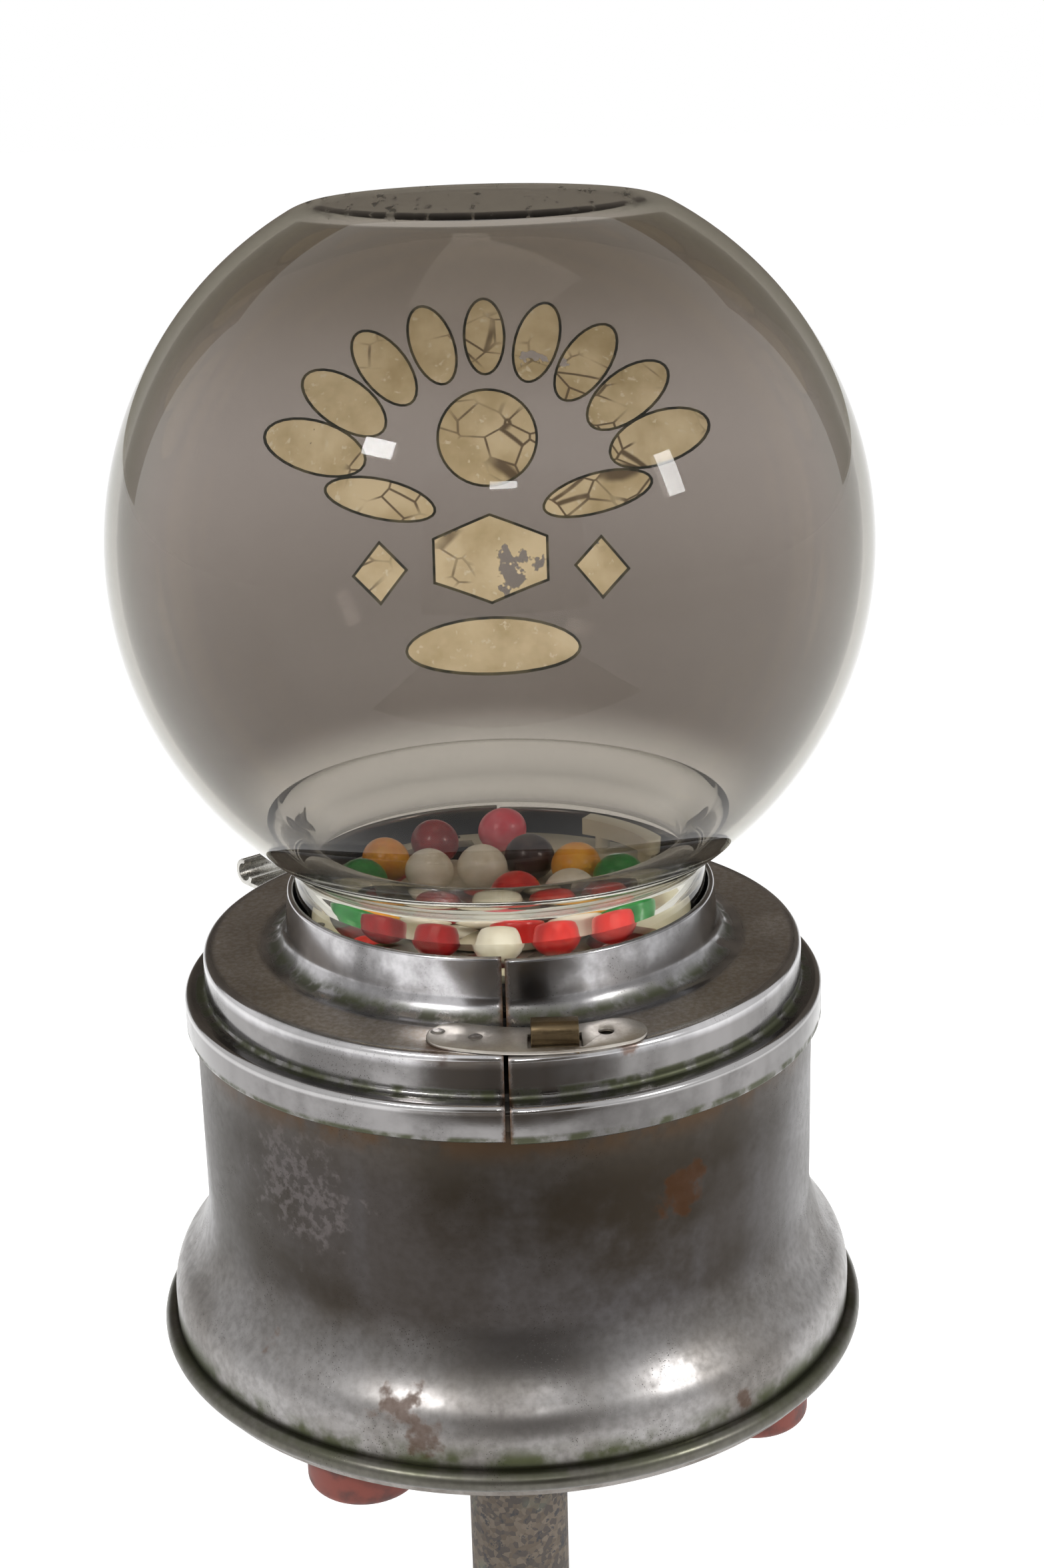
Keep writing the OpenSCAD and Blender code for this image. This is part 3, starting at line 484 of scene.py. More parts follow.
class Finishes:
    """The machine's materials, each made when it is first asked for."""

    def __init__(self):
        self.groups = {"place": turned_place(), "band": band_mask(), "spot": spot_mask(), "age": age_masks()}
        self.made = {}

    def start(self, name, **plain):
        material = bpy.data.materials.new(name)
        material.use_nodes = True
        board = Board(material.node_tree)
        shader = next(n for n in material.node_tree.nodes if n.type == "BSDF_PRINCIPLED")
        for key, value in plain.items():
            board.feed(shader.inputs[key.replace("_", " ").title().replace("Ior", "IOR")], value)
        place = board.node("ShaderNodeTexCoord").outputs["Object"]
        return material, board, shader.inputs, place

    def band(self, board, value, low, high, softness):
        return board.group(self.groups["band"], {"Value": value, "Low": low, "High": high,
                           "Softness": softness}).outputs["Mask"]

    def spot(self, board, place, centre, size, ragged=0.6):
        return board.group(self.groups["spot"], {"Position": place, "Centre": centre, "Size": size,
                           "Raggedness": ragged}).outputs["Mask"]

    def age(self, board, place, patch, pit, amount):
        return board.group(self.groups["age"], {"Position": place, "Patch Scale": patch, "Pit Scale": pit,
                           "Amount": amount}).outputs

    def bump(self, board, sockets, height, strength, distance=0.0002):
        board.feed(sockets["Normal"], board.node("ShaderNodeBump", {"Height": height, "Strength": strength,
                   "Distance": distance}).outputs["Normal"])

    def get(self, name):
        if name not in self.made:
            if name in METALS:
                self.made[name] = self.metal(*METALS[name])
            elif name in CANDIES:
                self.made[name] = self.candy(*CANDIES[name])
            else:
                self.made[name] = getattr(self, name)(bpy.context.scene.gumball_machine)
        return self.made[name]

    def spots(self, board, place):
        """Radius and height of a place, in millimetres."""
        return board.group(self.groups["place"], {"Position": place}).outputs

    def rust(self, board, place, spots, ragged):
        mask = 0.0
        for centre, size in spots:
            mask = board.most(mask, self.spot(board, place, centre, size, ragged))
        return mask

    def body(self, look):
        """Darkened nickel with painted reflections: a wall set dark with lighter painted reflection streaks and
        a lighter painted band under the collar, a flare painted bright with a darker painted band at the rim,
        brown patches, a lighter speckled patch, pits, darker greenish ragged colour along the groove over the
        rim, a brown stain under the collar, and rust.
        """
        material, board, out, place = self.start("Darkened nickel body with painted reflections", metallic=1.0)
        spots = self.spots(board, place)
        age = self.age(board, place, 16.0, 1300.0, 0.55)
        fine = board.noise(place, 420.0, 4.0)
        # The wall is set dark as painted dark reflection; upright streaks lighten it in painted reflection
        # bands
        wall = board.mix(board.times(age["Streaks"], 0.45), tuple(look.wall_nickel_painted_dark), (0.090, 0.087, 0.092))
        wall = board.mix(age["Patches"], wall, tuple(look.body_tarnish))
        # A lighter speckled patch high on the left of the wall
        pale_speckled_patch = board.times(self.spot(board, place, (-0.055, -0.067, 0.192), 0.017, 0.9),
                           board.step(fine, 0.42, 0.60))
        wall = board.mix(board.times(pale_speckled_patch, 0.4), wall, (0.17, 0.15, 0.15))
        # Painted reflection: the flare is set bright and darkened by tarnish patches, with a darker painted
        # band round the rolled rim
        flare = board.mix(board.times(age["Patches"], 0.6), tuple(look.flare_nickel_painted_bright), (0.12, 0.105, 0.09))
        flare = board.mix(self.band(board, spots["Height"], -2.0, 7.5, 2.5), flare, (0.11, 0.105, 0.09))
        # Painted reflection: the bright flare fades into the dark wall between 19 and 44 mm up
        tone = board.mix(board.step(spots["Height"], 19.0, 44.0), flare, wall)
        # A lighter painted reflection band on the wall just below the collar
        tone = board.mix(board.step(spots["Height"], 76.0, 92.0, 0.0, 0.4), tone, (0.08, 0.07, 0.06))
        tone = board.mix(board.times(age["Pits"], 0.85), tone, (0.020, 0.015, 0.011))
        tone = board.mix(board.step(fine, 0.3, 0.75, 0.0, 0.30), tone, (0.03, 0.025, 0.02))
        # Darker greenish ragged colour along the groove over the rolled rim
        groove = self.band(board, spots["Height"], 5.0, 11.0, 3.0)
        ragged = board.step(board.noise(place, 90.0, 5.0), 0.36, 0.60)
        tone = board.mix(board.times(groove, ragged), tone, tuple(look.ragged_dark_tone))
        under = self.band(board, spots["Height"], 89.0, 97.0, 4.0)
        tone = board.mix(board.times(board.times(under, ragged), 0.7), tone, (0.07, 0.04, 0.02))
        rust = self.rust(board, place, BODY_RUST, 0.9)
        tone = board.mix(board.times(rust, 0.5), tone, tuple(look.rust))
        board.feed(out["Base Color"], tone)
        rough = board.math("MULTIPLY_ADD", age["Patches"], 0.10, 0.24)
        rough = board.math("MULTIPLY_ADD", fine, 0.14, rough)
        rough = board.math("MULTIPLY_ADD", board.most(rust, age["Pits"]), 0.30, rough)
        board.feed(out["Roughness"], rough)
        brush = board.noise(board.stretch(place, (25.0, 25.0, 900.0)), 1.0, 3.0)
        height = board.math("SUBTRACT", board.times(brush, 0.3), age["Pits"])
        self.bump(board, out, height, 0.35, 0.00008)
        return material

    def collar(self, look):
        """Polished cone with darker painted reflection streaks, upright sides painted darker, painted
        highlights along the rounded edges, a dull flat top, darker greenish ragged colour in the inner corners
        and along the hem, and rust at the seam.
        """
        material, board, out, place = self.start("Worn collar", metallic=1.0)
        spots = self.spots(board, place)
        age = self.age(board, place, 30.0, 1500.0, 0.50)
        # Painted dark reflection streaks down the polished metal
        bright = board.mix(board.times(age["Streaks"], 0.65), tuple(look.collar_metal),
                           (0.15, 0.15, 0.155))
        # Painted dark reflection: the upright skirt, ledge and step are set darker
        side = self.band(board, spots["Height"], 90.0, 112.0, 1.0)
        bright = board.mix(board.times(side, 0.75), bright, (0.125, 0.118, 0.112))
        bright = board.mix(board.times(age["Patches"], 0.7), bright, (0.085, 0.080, 0.078))
        # Painted highlights along the rounded top edge and the skirt's shoulder
        edges = board.most(board.times(self.band(board, spots["Height"], 112.9, 115.2, 0.4),
                           self.band(board, spots["Radius"], 81.6, 84.0, 0.4)),
                           board.times(self.band(board, spots["Height"], 101.7, 103.9, 0.4),
                           self.band(board, spots["Radius"], 87.4, 90.0, 0.3)))
        bright = board.mix(board.times(edges, 0.45), bright, (0.60, 0.59, 0.59))
        bright = board.mix(board.times(age["Pits"], 0.9), bright, (0.03, 0.025, 0.02))
        grain = board.noise(place, 700.0, 5.0, 0.7)
        dull = board.mix(board.step(grain, 0.35, 0.68), tuple(look.plate_metal), (0.34, 0.31, 0.28))
        dull = board.mix(board.times(age["Pits"], 0.8), dull, (0.05, 0.04, 0.03))
        top = board.times(self.band(board, spots["Height"], 113.8, 116.6, 0.4),
                         self.band(board, spots["Radius"], 67.5, 80.8, 1.2))
        tone = board.mix(top, bright, dull)
        # Darker greenish ragged colour in the inner corners at the lip and the ledge, and along the hem
        ragged = board.step(board.noise(place, 160.0, 5.0), 0.34, 0.58)
        foot = board.times(self.band(board, spots["Radius"], 61.5, 65.5, 1.6),
                          self.band(board, spots["Height"], 115.0, 118.6, 0.8))
        ledge = board.times(self.band(board, spots["Radius"], 82.8, 86.0, 0.5),
                           self.band(board, spots["Height"], 102.5, 106.0, 0.6))
        hem = self.band(board, spots["Height"], 92.5, 95.6, 0.6)
        dirt = board.times(board.most(board.most(foot, ledge), hem), ragged)
        tone = board.mix(board.times(dirt, 0.9), tone, tuple(look.ragged_dark_tone))
        parts = board.node("ShaderNodeSeparateXYZ", {"Vector": place}).outputs
        aside = board.times(board.math("ABSOLUTE", parts["X"]), 1 / MM)
        seam = board.times(board.step(board.math("ADD", aside, board.times(grain, 2.2)),
                          1.3, 3.0, 1.0, 0.0), board.step(parts["Y"], -0.05, -0.04, 1.0, 0.0))
        tone = board.mix(board.times(seam, 0.9), tone, (0.09, 0.045, 0.02))
        rust = self.rust(board, place, COLLAR_RUST, 0.8)
        tone = board.mix(board.times(rust, 0.7), tone, tuple(look.rust))
        board.feed(out["Base Color"], tone)
        rough = board.math("MULTIPLY_ADD", age["Patches"], 0.12, 0.13)
        rough = board.math("MULTIPLY_ADD", top, 0.27, rough)
        rough = board.math("MULTIPLY_ADD", board.most(dirt, seam), 0.35, rough)
        board.feed(out["Roughness"], rough)
        self.bump(board, out, board.math("SUBTRACT", board.times(grain, 0.4), age["Pits"]), 0.25,
                  0.00006)
        return material

    def metal(self, name, base, rough, dirt=0.3, dirt_tone=(0.05, 0.035, 0.02)):
        material, board, out, place = self.start(name, metallic=1.0)
        age = self.age(board, place, 70.0, 1800.0, 0.4 + dirt * 0.3)
        tone = board.mix(board.times(age["Patches"], dirt), tuple(base), dirt_tone)
        tone = board.mix(board.times(age["Pits"], 0.7), tone, (0.03, 0.022, 0.015))
        board.feed(out["Base Color"], tone)
        board.feed(out["Roughness"], board.math("MULTIPLY_ADD", age["Speckle"], 0.12, rough))
        self.bump(board, out, board.noise(place, 900.0, 4.0), 0.10, 0.00005)
        return material

    def hasp(self, look):
        return self.metal("Hasp nickel", look.hasp_metal, 0.36, 0.35, (0.16, 0.12, 0.08))

    def staple(self, look):
        return self.metal("Dark bronze", look.bronze, 0.33, 0.45, (0.03, 0.02, 0.012))

    def glass(self, look):
        """Old glass, darkened over its upper part as painted shade of the dim room seen through it, and dark
        olive where it is seen edge on as a painted reflection; lamps shine through it.
        """
        material, board, out, place = self.start(
            "Old glass", metallic=0.0, transmission_weight=1.0, ior=1.3, roughness=0.0,
            specular_tint=(0.35, 0.35, 0.35))
        spots = self.spots(board, place)
        # Painted shade of the room seen through the glass, set by height; the glass stays clear near its base
        tone = board.mix(board.step(spots["Height"], 146.0, 160.0), tuple(look.glass_tint),
                         tuple(look.painted_room_shade_low))
        tone = board.mix(board.step(spots["Height"], 180.0, 250.0), tone, tuple(look.painted_room_shade))
        tone = board.mix(board.step(spots["Height"], 262.0, 308.0), tone, tuple(look.painted_room_shade_top))
        cloud = board.noise(place, 9.0, 3.0)
        tone = board.mix(board.step(cloud, 0.35, 0.75, 0.0, 0.08), tone, (0.66, 0.64, 0.60))
        # Painted dark olive reflection where the glass is seen edge on, weaker near the base
        facing = board.node("ShaderNodeLayerWeight", {"Blend": 0.5}).outputs["Facing"]
        edge = board.times(board.step(facing, 0.50, 0.85),
                           board.step(spots["Height"], 132.0, 150.0, 0.3, 1.0))
        tone = board.mix(edge, tone, tuple(look.painted_edge_reflection))
        board.feed(out["Base Color"], tone)
        scratch = board.noise(board.stretch(place, (260.0, 40.0, 260.0)), 1.0, 4.0)
        flat = self.band(board, spots["Height"], 315.0, 316.5, 0.2)
        mark = board.times(flat, board.step(scratch, 0.55, 0.70))
        board.feed(out["Roughness"], board.times(mark, 0.4))
        shade = board.node("ShaderNodeLightPath").outputs["Is Shadow Ray"]
        board.feed(out["Alpha"], board.math("MULTIPLY_ADD", shade, -0.75, 1.0))
        return material

    def decal(self, look):
        """Cream paint with fine cracks, flaked through in places, and a painted glow in its own colour."""
        # The emission is a painted glow, so that the decal shows bright behind the glass
        material, board, out, place = self.start("Decal cream", roughness=0.45, emission_strength=0.45)
        cracks = board.node("ShaderNodeTexVoronoi", {"Vector": board.stretch(place, (1.0, 1.0, 1.3)),
                            "Scale": 95.0}, feature="DISTANCE_TO_EDGE").outputs["Distance"]
        where = board.step(board.noise(place, 26.0, 3.0), 0.50, 0.60)
        crack = board.times(board.step(cracks, 0.015, 0.05, 1.0, 0.0), where)
        tone = board.mix(board.step(board.noise(place, 70.0, 4.0), 0.3, 0.75), tuple(look.decal_cream),
                         (0.52, 0.43, 0.24))
        tone = board.mix(board.step(board.noise(place, 420.0, 3.0), 0.60, 0.72), tone, (0.80, 0.74, 0.55))
        tone = board.mix(crack, tone, (0.16, 0.12, 0.07))
        board.feed(out["Base Color"], tone)
        # Painted glow in the decal's own colour
        board.feed(out["Emission Color"], tone)
        aside = board.stretch(place, (1, 1, 1), (0.07, 0, 0.02))
        lost = board.step(board.noise(aside, 38.0, 5.0, 0.6), 0.645, 0.66)
        board.feed(out["Alpha"], board.math("SUBTRACT", 1.0, lost))
        return material

    def decal_line(self, look):
        material, board, out, place = self.start("Decal outline", roughness=0.5)
        worn = board.step(board.noise(place, 120.0, 4.0), 0.42, 0.60)
        board.feed(out["Base Color"], board.mix(worn, tuple(look.decal_edge), (0.16, 0.15, 0.09)))
        return material

    def enamel(self, look):
        material, board, out, place = self.start("Cream enamel", roughness=0.3, coat_weight=0.3)
        dirt = board.step(board.noise(place, 60.0, 5.0), 0.45, 0.75)
        board.feed(out["Base Color"], board.mix(board.times(dirt, 0.5), tuple(look.enamel),
                                                (0.42, 0.37, 0.25)))
        return material

    def rubber(self, look):
        material, board, out, place = self.start("Red rubber", roughness=0.6)
        tone = board.mix(board.step(board.noise(place, 150.0, 4.0), 0.40, 0.7), tuple(look.foot_rubber),
                         (0.055, 0.014, 0.010))
        board.feed(out["Base Color"], tone)
        self.bump(board, out, board.noise(place, 500.0, 4.0), 0.3)
        return material

    def black_rubber(self, look):
        material, board, out, place = self.start("Black rubber", roughness=0.7)
        board.feed(out["Base Color"], board.mix(board.noise(place, 300.0), (0.015, 0.015, 0.015),
                                                (0.04, 0.04, 0.035)))
        return material

    def pole(self, look):
        """Speckled stone-effect paint: pale ground, pink and grey grains, black flecks, all set dark as painted
        shadow from the machine above.
        """
        material, board, out, place = self.start("Speckled pole", roughness=0.72)
        grains = board.node("ShaderNodeTexVoronoi", {"Vector": place, "Scale": 620.0})
        parts = board.node("ShaderNodeSeparateColor", {"Color": grains.outputs["Color"]}).outputs
        # Painted shadow: every colour of the pole is set dark, as if the machine shaded it
        tone = board.mix(parts["Red"], tuple(look.stone), (0.16, 0.13, 0.10))
        tone = board.mix(board.step(parts["Green"], 0.55, 0.75), tone, (0.07, 0.058, 0.05))
        flecks = board.step(board.noise(place, 330.0, 4.0, 0.7), 0.57, 0.63)
        tone = board.mix(board.times(flecks, 0.9), tone, (0.035, 0.035, 0.04))
        green = board.step(board.noise(place, 60.0, 2.0), 0.60, 0.70, 0.0, 0.35)
        board.feed(out["Base Color"], board.mix(green, tone, (0.16, 0.19, 0.14)))
        self.bump(board, out, grains.outputs["Distance"], 0.5)
        return material

    def candy(self, name, tone, shade):
        material, board, out, place = self.start(name, roughness=0.28, coat_weight=0.25)
        board.feed(out["Base Color"], board.mix(board.step(board.noise(place, 160.0, 3.0), 0.35, 0.7), tone,
                                                shade))
        self.bump(board, out, board.noise(place, 300.0, 3.0), 0.15, 0.0004)
        return material


finishes = None


# ---------------------------------------------------------------- outlines

def body_outline():
    """The body's wall from its top bead down to the rolled rim and back up inside."""
    turn = 40.5
    hollow = (BODY_R + HOLLOW_R, FLARE_Z)
    reach = HOLLOW_R + BULGE_R
    bulge = (hollow[0] - reach * math.cos(math.radians(turn)), FLARE_Z - reach * math.sin(math.radians(turn)))
    wall = bulge[0] + BULGE_R
    inner = wall - SHEET
    outer_meet = math.degrees(math.acos((wall - ROLL[0]) / ROLL_R))
    inner_meet = math.degrees(math.acos((inner - ROLL[0]) / ROLL_R))
    bead = BODY_R - SHEET + 2.4
    return (
        [(BODY_R - SHEET, BODY_TOP)]
        + bow((bead - 0.6, BODY_TOP - 0.6), 0.6, 90, 0, 4)
        + bow((bead - 0.6, BODY_TOP - 4.4), 0.6, 0, -90, 4)
        + [(BODY_R, BODY_TOP - 5.2)]
        + [(BODY_R, z) for z in range(90, 49, -8)]
        + bow(hollow, HOLLOW_R, 180, 180 + turn, 16)
        + bow(bulge, BULGE_R, turn - 3, 0, 10)
        + bow(ROLL, ROLL_R, outer_meet, inner_meet - 360, 30)
        + bow(bulge, BULGE_R - SHEET, 0, turn - 3, 8)
        + bow(hollow, HOLLOW_R + SHEET, 180 + turn, 180, 12))


def collar_outline():
    """Down the outside of the collar from its rolled lip, round its lower edge and up the inside."""
    t = COLLAR_T
    foot = (66.6, COLLAR_TOP + 6.5)
    edge = (STEP_R - 1.9, COLLAR_TOP - 1.9)
    root = (STEP_R + 1.2, LEDGE_Z + 1.2)
    shoulder = (SKIRT_R - 1.6, LEDGE_Z - 1.6)
    return (
        bow(LIP, 0.9, 215, -15, 14) + bow(foot, 6.5, 180, 270, 14) + bow(edge, 1.9, 90, 0)
        + bow(root, 1.2, 180, 270, 8) + bow(shoulder, 1.6, 90, 0)
        + bow((SKIRT_R - t, 94.9), t, 0, -90, 6)
        + [(SKIRT_R - 2.2, 94.0), (SKIRT_R - 2.2, 94.0 + t), (SKIRT_R - t, 94.0 + t)]
        + bow(shoulder, 1.6 - t, 0, 90, 6) + bow(root, 1.2 + t, 270, 180, 8)
        + bow(edge, 1.9 - t, 0, 90, 6) + bow(foot, 6.5 + t, 270, 180, 12))


def globe_outline():
    """The glass from the middle of its flat top, down outside to its flange and back up inside."""
    centre = (0.0, GLOBE_Z)
    top = GLOBE_TOP - GLOBE_Z
    round_r = (GLOBE_R ** 2 - GLOBE_FLAT_R ** 2 - top ** 2) / (2 * (GLOBE_R - top))
    shoulder = (GLOBE_FLAT_R, GLOBE_TOP - round_r)
    meet = math.degrees(math.atan2(shoulder[1] - GLOBE_Z, shoulder[0]))
    fillet = 4.0
    side = (NECK_R + fillet, GLOBE_Z - math.sqrt((GLOBE_R + fillet) ** 2 - (NECK_R + fillet) ** 2))
    neck = math.degrees(math.atan2(side[1] - GLOBE_Z, side[0]))
    waist_r = 10.0
    waist = (WAIST_IN_R + waist_r, side[1] + 3.0)
    inner_r = GLOBE_R - GLASS_T
    gap = math.hypot(waist[0], waist[1] - GLOBE_Z)
    aim = math.degrees(math.atan2(waist[1] - GLOBE_Z, waist[0]))
    open_by = math.degrees(math.acos((inner_r ** 2 + gap ** 2 - waist_r ** 2) / (2 * inner_r * gap)))
    low_end = aim + open_by
    spot = (inner_r * math.cos(math.radians(low_end)), GLOBE_Z + inner_r * math.sin(math.radians(low_end)))
    waist_from = math.degrees(math.atan2(spot[1] - waist[1], spot[0] - waist[0]))
    waist_to = 180 + math.degrees(math.acos((waist[0] - NECK_IN_R) / waist_r))
    return (
        [(0.0, GLOBE_TOP), (20.0, GLOBE_TOP)]
        + bow(shoulder, round_r, 90, meet, 14)
        + bow(centre, GLOBE_R, meet, neck, 90)[1:]
        + bow(side, fillet, 180 + neck, 180, 8)[1:]
        + bow((59.9, 120.0), 3.0, 180, 250, 8)
        + [(59.6, 116.7), (59.8, 116.0), (59.8, 115.0), (NECK_IN_R, 115.0)]
        + bow(waist, waist_r, waist_to, waist_from, 24)
        + bow(centre, inner_r, low_end, meet, 90)[1:]
        + bow(shoulder, round_r - GLASS_T, meet, 90, 12)[1:]
        + [(20.0, GLOBE_TOP - GLASS_T), (0.0, GLOBE_TOP - GLASS_T)])


# ---------------------------------------------------------------- pieces

class PlainFinish:
    """For operators that only finish CAD nodes: rows of nodes, finish and edge in mm, None for the setting."""

    def execute(self, context):
        for nodes, finish, edge in self.rows:
            for node in nodes.split():
                width = context.scene.gumball_machine.edge_round if edge is None else edge * MM
                finish_node(node, finishes.get(finish), width)
        return {"FINISHED"}


class GUMBALL_OT_globe(bpy.types.Operator):
    """Blows the glass globe with its flat top, waist and flange"""
    bl_idname = "gumball.globe"
    bl_label = "Globe"

    def execute(self, context):
        look = context.scene.gumball_machine
        piece = lathe("dressed_globe", globe_outline(), look.round_steps, closed=False)
        smooth(piece, 40)
        hand_over(piece, finishes.get("glass"), ["globe"])
        finish_node("globe_gasket", finishes.get("black_rubber"))
        return {"FINISHED"}


def flat_motif(sides, size, place, turn=0.0, squeeze=(1.0, 1.0)):
    """A flat motif facing +Y with an outline of its own, at (x, z) in millimetres from the globe's centre."""
    deselect()
    bpy.ops.mesh.primitive_circle_add(vertices=sides, radius=size * MM, fill_type="NGON")
    piece = bpy.context.object
    edit()
    bpy.ops.transform.resize(value=(squeeze[0], squeeze[1], 1), center_override=(0, 0, 0))
    bpy.ops.transform.rotate(value=-turn, orient_axis="Z", center_override=(0, 0, 0))
    bpy.ops.mesh.flip_normals()
    bpy.ops.mesh.inset(thickness=0.8 * MM)
    leave()
    piece.data.materials.append(finishes.get("decal"))
    piece.data.materials.append(finishes.get("decal_line"))
    for face in piece.data.polygons:
        face.material_index = 0 if face.select else 1
    piece.rotation_euler = (math.radians(90), 0, 0)
    piece.location = (place[0] * MM, 0.11, (place[1] + GLOBE_Z + RIM_Z) * MM)
    settle(piece)
    return piece


class GUMBALL_OT_decals(bpy.types.Operator):
    """Lays the cream decals on the front of the globe: petals round a sun, ribbons, lozenges and a tablet"""
    bl_idname = "gumball.decals"
    bl_label = "Decals"

    def execute(self, context):
        motifs = []
        for step in range(-4, 5):
            lean = math.radians(step * 15.5)
            spot = (58 * math.sin(lean), -14 + 58 * math.cos(lean))
            motifs.append(flat_motif(28, 8.6 + 0.6 * abs(step), spot, -lean, (0.74, 1.45)))
        motifs.append(flat_motif(40, 15.5, (0, 12), 0.0))
        for side in (-1, 1):
            motifs.append(flat_motif(28, 17.5, (side * 33.0, -5.0), side * 0.32, (1.0, 0.36)))
            motifs.append(flat_motif(4, 9.5, (side * 34.0, -27.0), 0.0, (0.9, 1.0)))
        motifs.append(flat_motif(6, 18.0, (0.0, -25.0), 0.0, (1.15, 0.75)))
        motifs.append(flat_motif(32, 27.0, (0.0, -50.0), 0.0, (1.0, 0.30)))
        decal = join("globe_decals", motifs)
        pick(decal)
        for k in range(-18, 19):
            edit()
            bpy.ops.mesh.bisect(plane_co=(k * 4.5 * MM, 0, 0), plane_no=(1, 0, 0))
            leave()
        for k in range(-16, 14):
            edit()
            bpy.ops.mesh.bisect(plane_co=(0, 0, (GLOBE_Z + RIM_Z + k * 4.5) * MM), plane_no=(0, 0, 1))
            leave()
        deselect()
        bpy.ops.mesh.primitive_uv_sphere_add(
            segments=256, ring_count=128, radius=(GLOBE_R - GLASS_T - 0.12) * MM,
            location=(0, 0, (GLOBE_Z + RIM_Z) * MM))
        ball = bpy.context.object
        wrap = decal.modifiers.new("Wrap", "SHRINKWRAP")
        wrap.target = ball
        wrap.wrap_method = "PROJECT"
        wrap.use_project_x = wrap.use_project_z = False
        wrap.use_project_y = True
        wrap.use_negative_direction = True
        wrap.use_positive_direction = False
        finish_modifiers(decal)
        bpy.data.objects.remove(ball)
        thick = decal.modifiers.new("Film", "SOLIDIFY")
        thick.thickness = 0.1 * MM
        thick.offset = -1.0
        finish_modifiers(decal)
        hand_over(decal, None, [], "machine")
        return {"FINISHED"}


class GUMBALL_OT_body(bpy.types.Operator):
    """Spins the body from its top bead over the flare to the rolled rim and cuts its openings"""
    bl_idname = "gumball.body"
    bl_label = "Body"

    def execute(self, context):
        look = context.scene.gumball_machine
        shell = lathe("dressed_body_shell", body_outline(), look.round_steps)
        deselect()
        bpy.ops.mesh.primitive_cube_add(size=1, location=(0, 0.09, 0.169), scale=(0.027, 0.02, 0.026))
        cutters = [bpy.context.object]
        slot_outline = [(82.0, 75.5), (90.0, 75.5), (90.0, 83.0), (82.0, 83.0)]
        cutters.append(lathe("lever slot", slot_outline, 24, math.radians(96), math.radians(38)))
        turn = math.radians(155)
        deselect()
        bpy.ops.mesh.primitive_cube_add(
            size=1, location=(0.085 * math.cos(turn), 0.085 * math.sin(turn), 0.188), rotation=(0, 0, turn),
            scale=(0.01, 0.005, 0.026))
        cutters.append(bpy.context.object)
        for cutter in cutters:
            cut = shell.modifiers.new("Opening", "BOOLEAN")
            cut.operation = "DIFFERENCE"
            cut.solver = "EXACT"
            cut.object = cutter
        finish_modifiers(shell)
        for cutter in cutters:
            bpy.data.objects.remove(cutter)
        smooth(shell, 38)
        hand_over(shell, finishes.get("body"), ["body_shell"])
        return {"FINISHED"}


class GUMBALL_OT_collar(bpy.types.Operator):
    """Spins the two halves of the collar, one a little lower than the other"""
    bl_idname = "gumball.collar"
    bl_label = "Collar"

    def execute(self, context):
        look = context.scene.gumball_machine
        sweep = math.pi - 2 * SEAM_HALF_ANGLE
        halves = (("collar_right", -math.pi / 2, RIGHT_DROP), ("collar_left", math.pi / 2, 0.0))
        for node, start, drop in halves:
            half = lathe("dressed_" + node, collar_outline(), look.round_steps // 2,
                         start + SEAM_HALF_ANGLE, sweep)
            half.location.z = -drop * MM
            settle(half)
            edge = half.modifiers.new("Seam edge", "BEVEL")
            edge.width = 0.2 * MM
            edge.segments = 2
            edge.angle_limit = math.radians(60)
            finish_modifiers(half)
            smooth(half, 38)
            hand_over(half, finishes.get("collar"), [node])
        finish_node("collar_left_screws", finishes.get("bright"), look.edge_round)
        return {"FINISHED"}


class GUMBALL_OT_hasp(PlainFinish, bpy.types.Operator):
    """Finishes the hasp, its rivets and the staple it drops over"""
    bl_idname = "gumball.hasp"
    bl_label = "Hasp and staple"
    rows = (("hasp", "hasp", 0.3), ("hasp_rivets", "steel", 0.1), ("staple", "staple", 0.35))


class GUMBALL_OT_hinge(PlainFinish, bpy.types.Operator):
    """Finishes the hinge at the front of the collar"""
    bl_idname = "gumball.hinge"
    bl_label = "Collar hinge"
    rows = (("hinge_leaf_left hinge_leaf_right", "steel", None),
            ("hinge_rivets_left hinge_rivets_right hinge_pin", "nickel", 0.2))


CANDY = {
    "gumballs_red": "candy_red", "gumballs_dark_red": "candy_dark_red", "gumballs_pink": "candy_pink",
    "gumballs_orange": "candy_orange", "gumballs_green": "candy_green", "gumballs_white": "candy_white",
    "gumballs_black": "candy_black", "pocket_gumballs_red": "candy_red",
    "pocket_gumballs_white": "candy_white",
}


def ball_centres(node):
    """Centres of the separate balls of a CAD node."""
    pick(copy_of(node))
    edit()
    bpy.ops.mesh.separate(type="LOOSE")
    leave()
    parts = list(bpy.context.selected_objects)
    centres = [sum((Vector(corner) for corner in part.bound_box), Vector()) / 8 for part in parts]
    for part in parts:
        bpy.data.objects.remove(part)
    return sorted(centres, key=tuple)


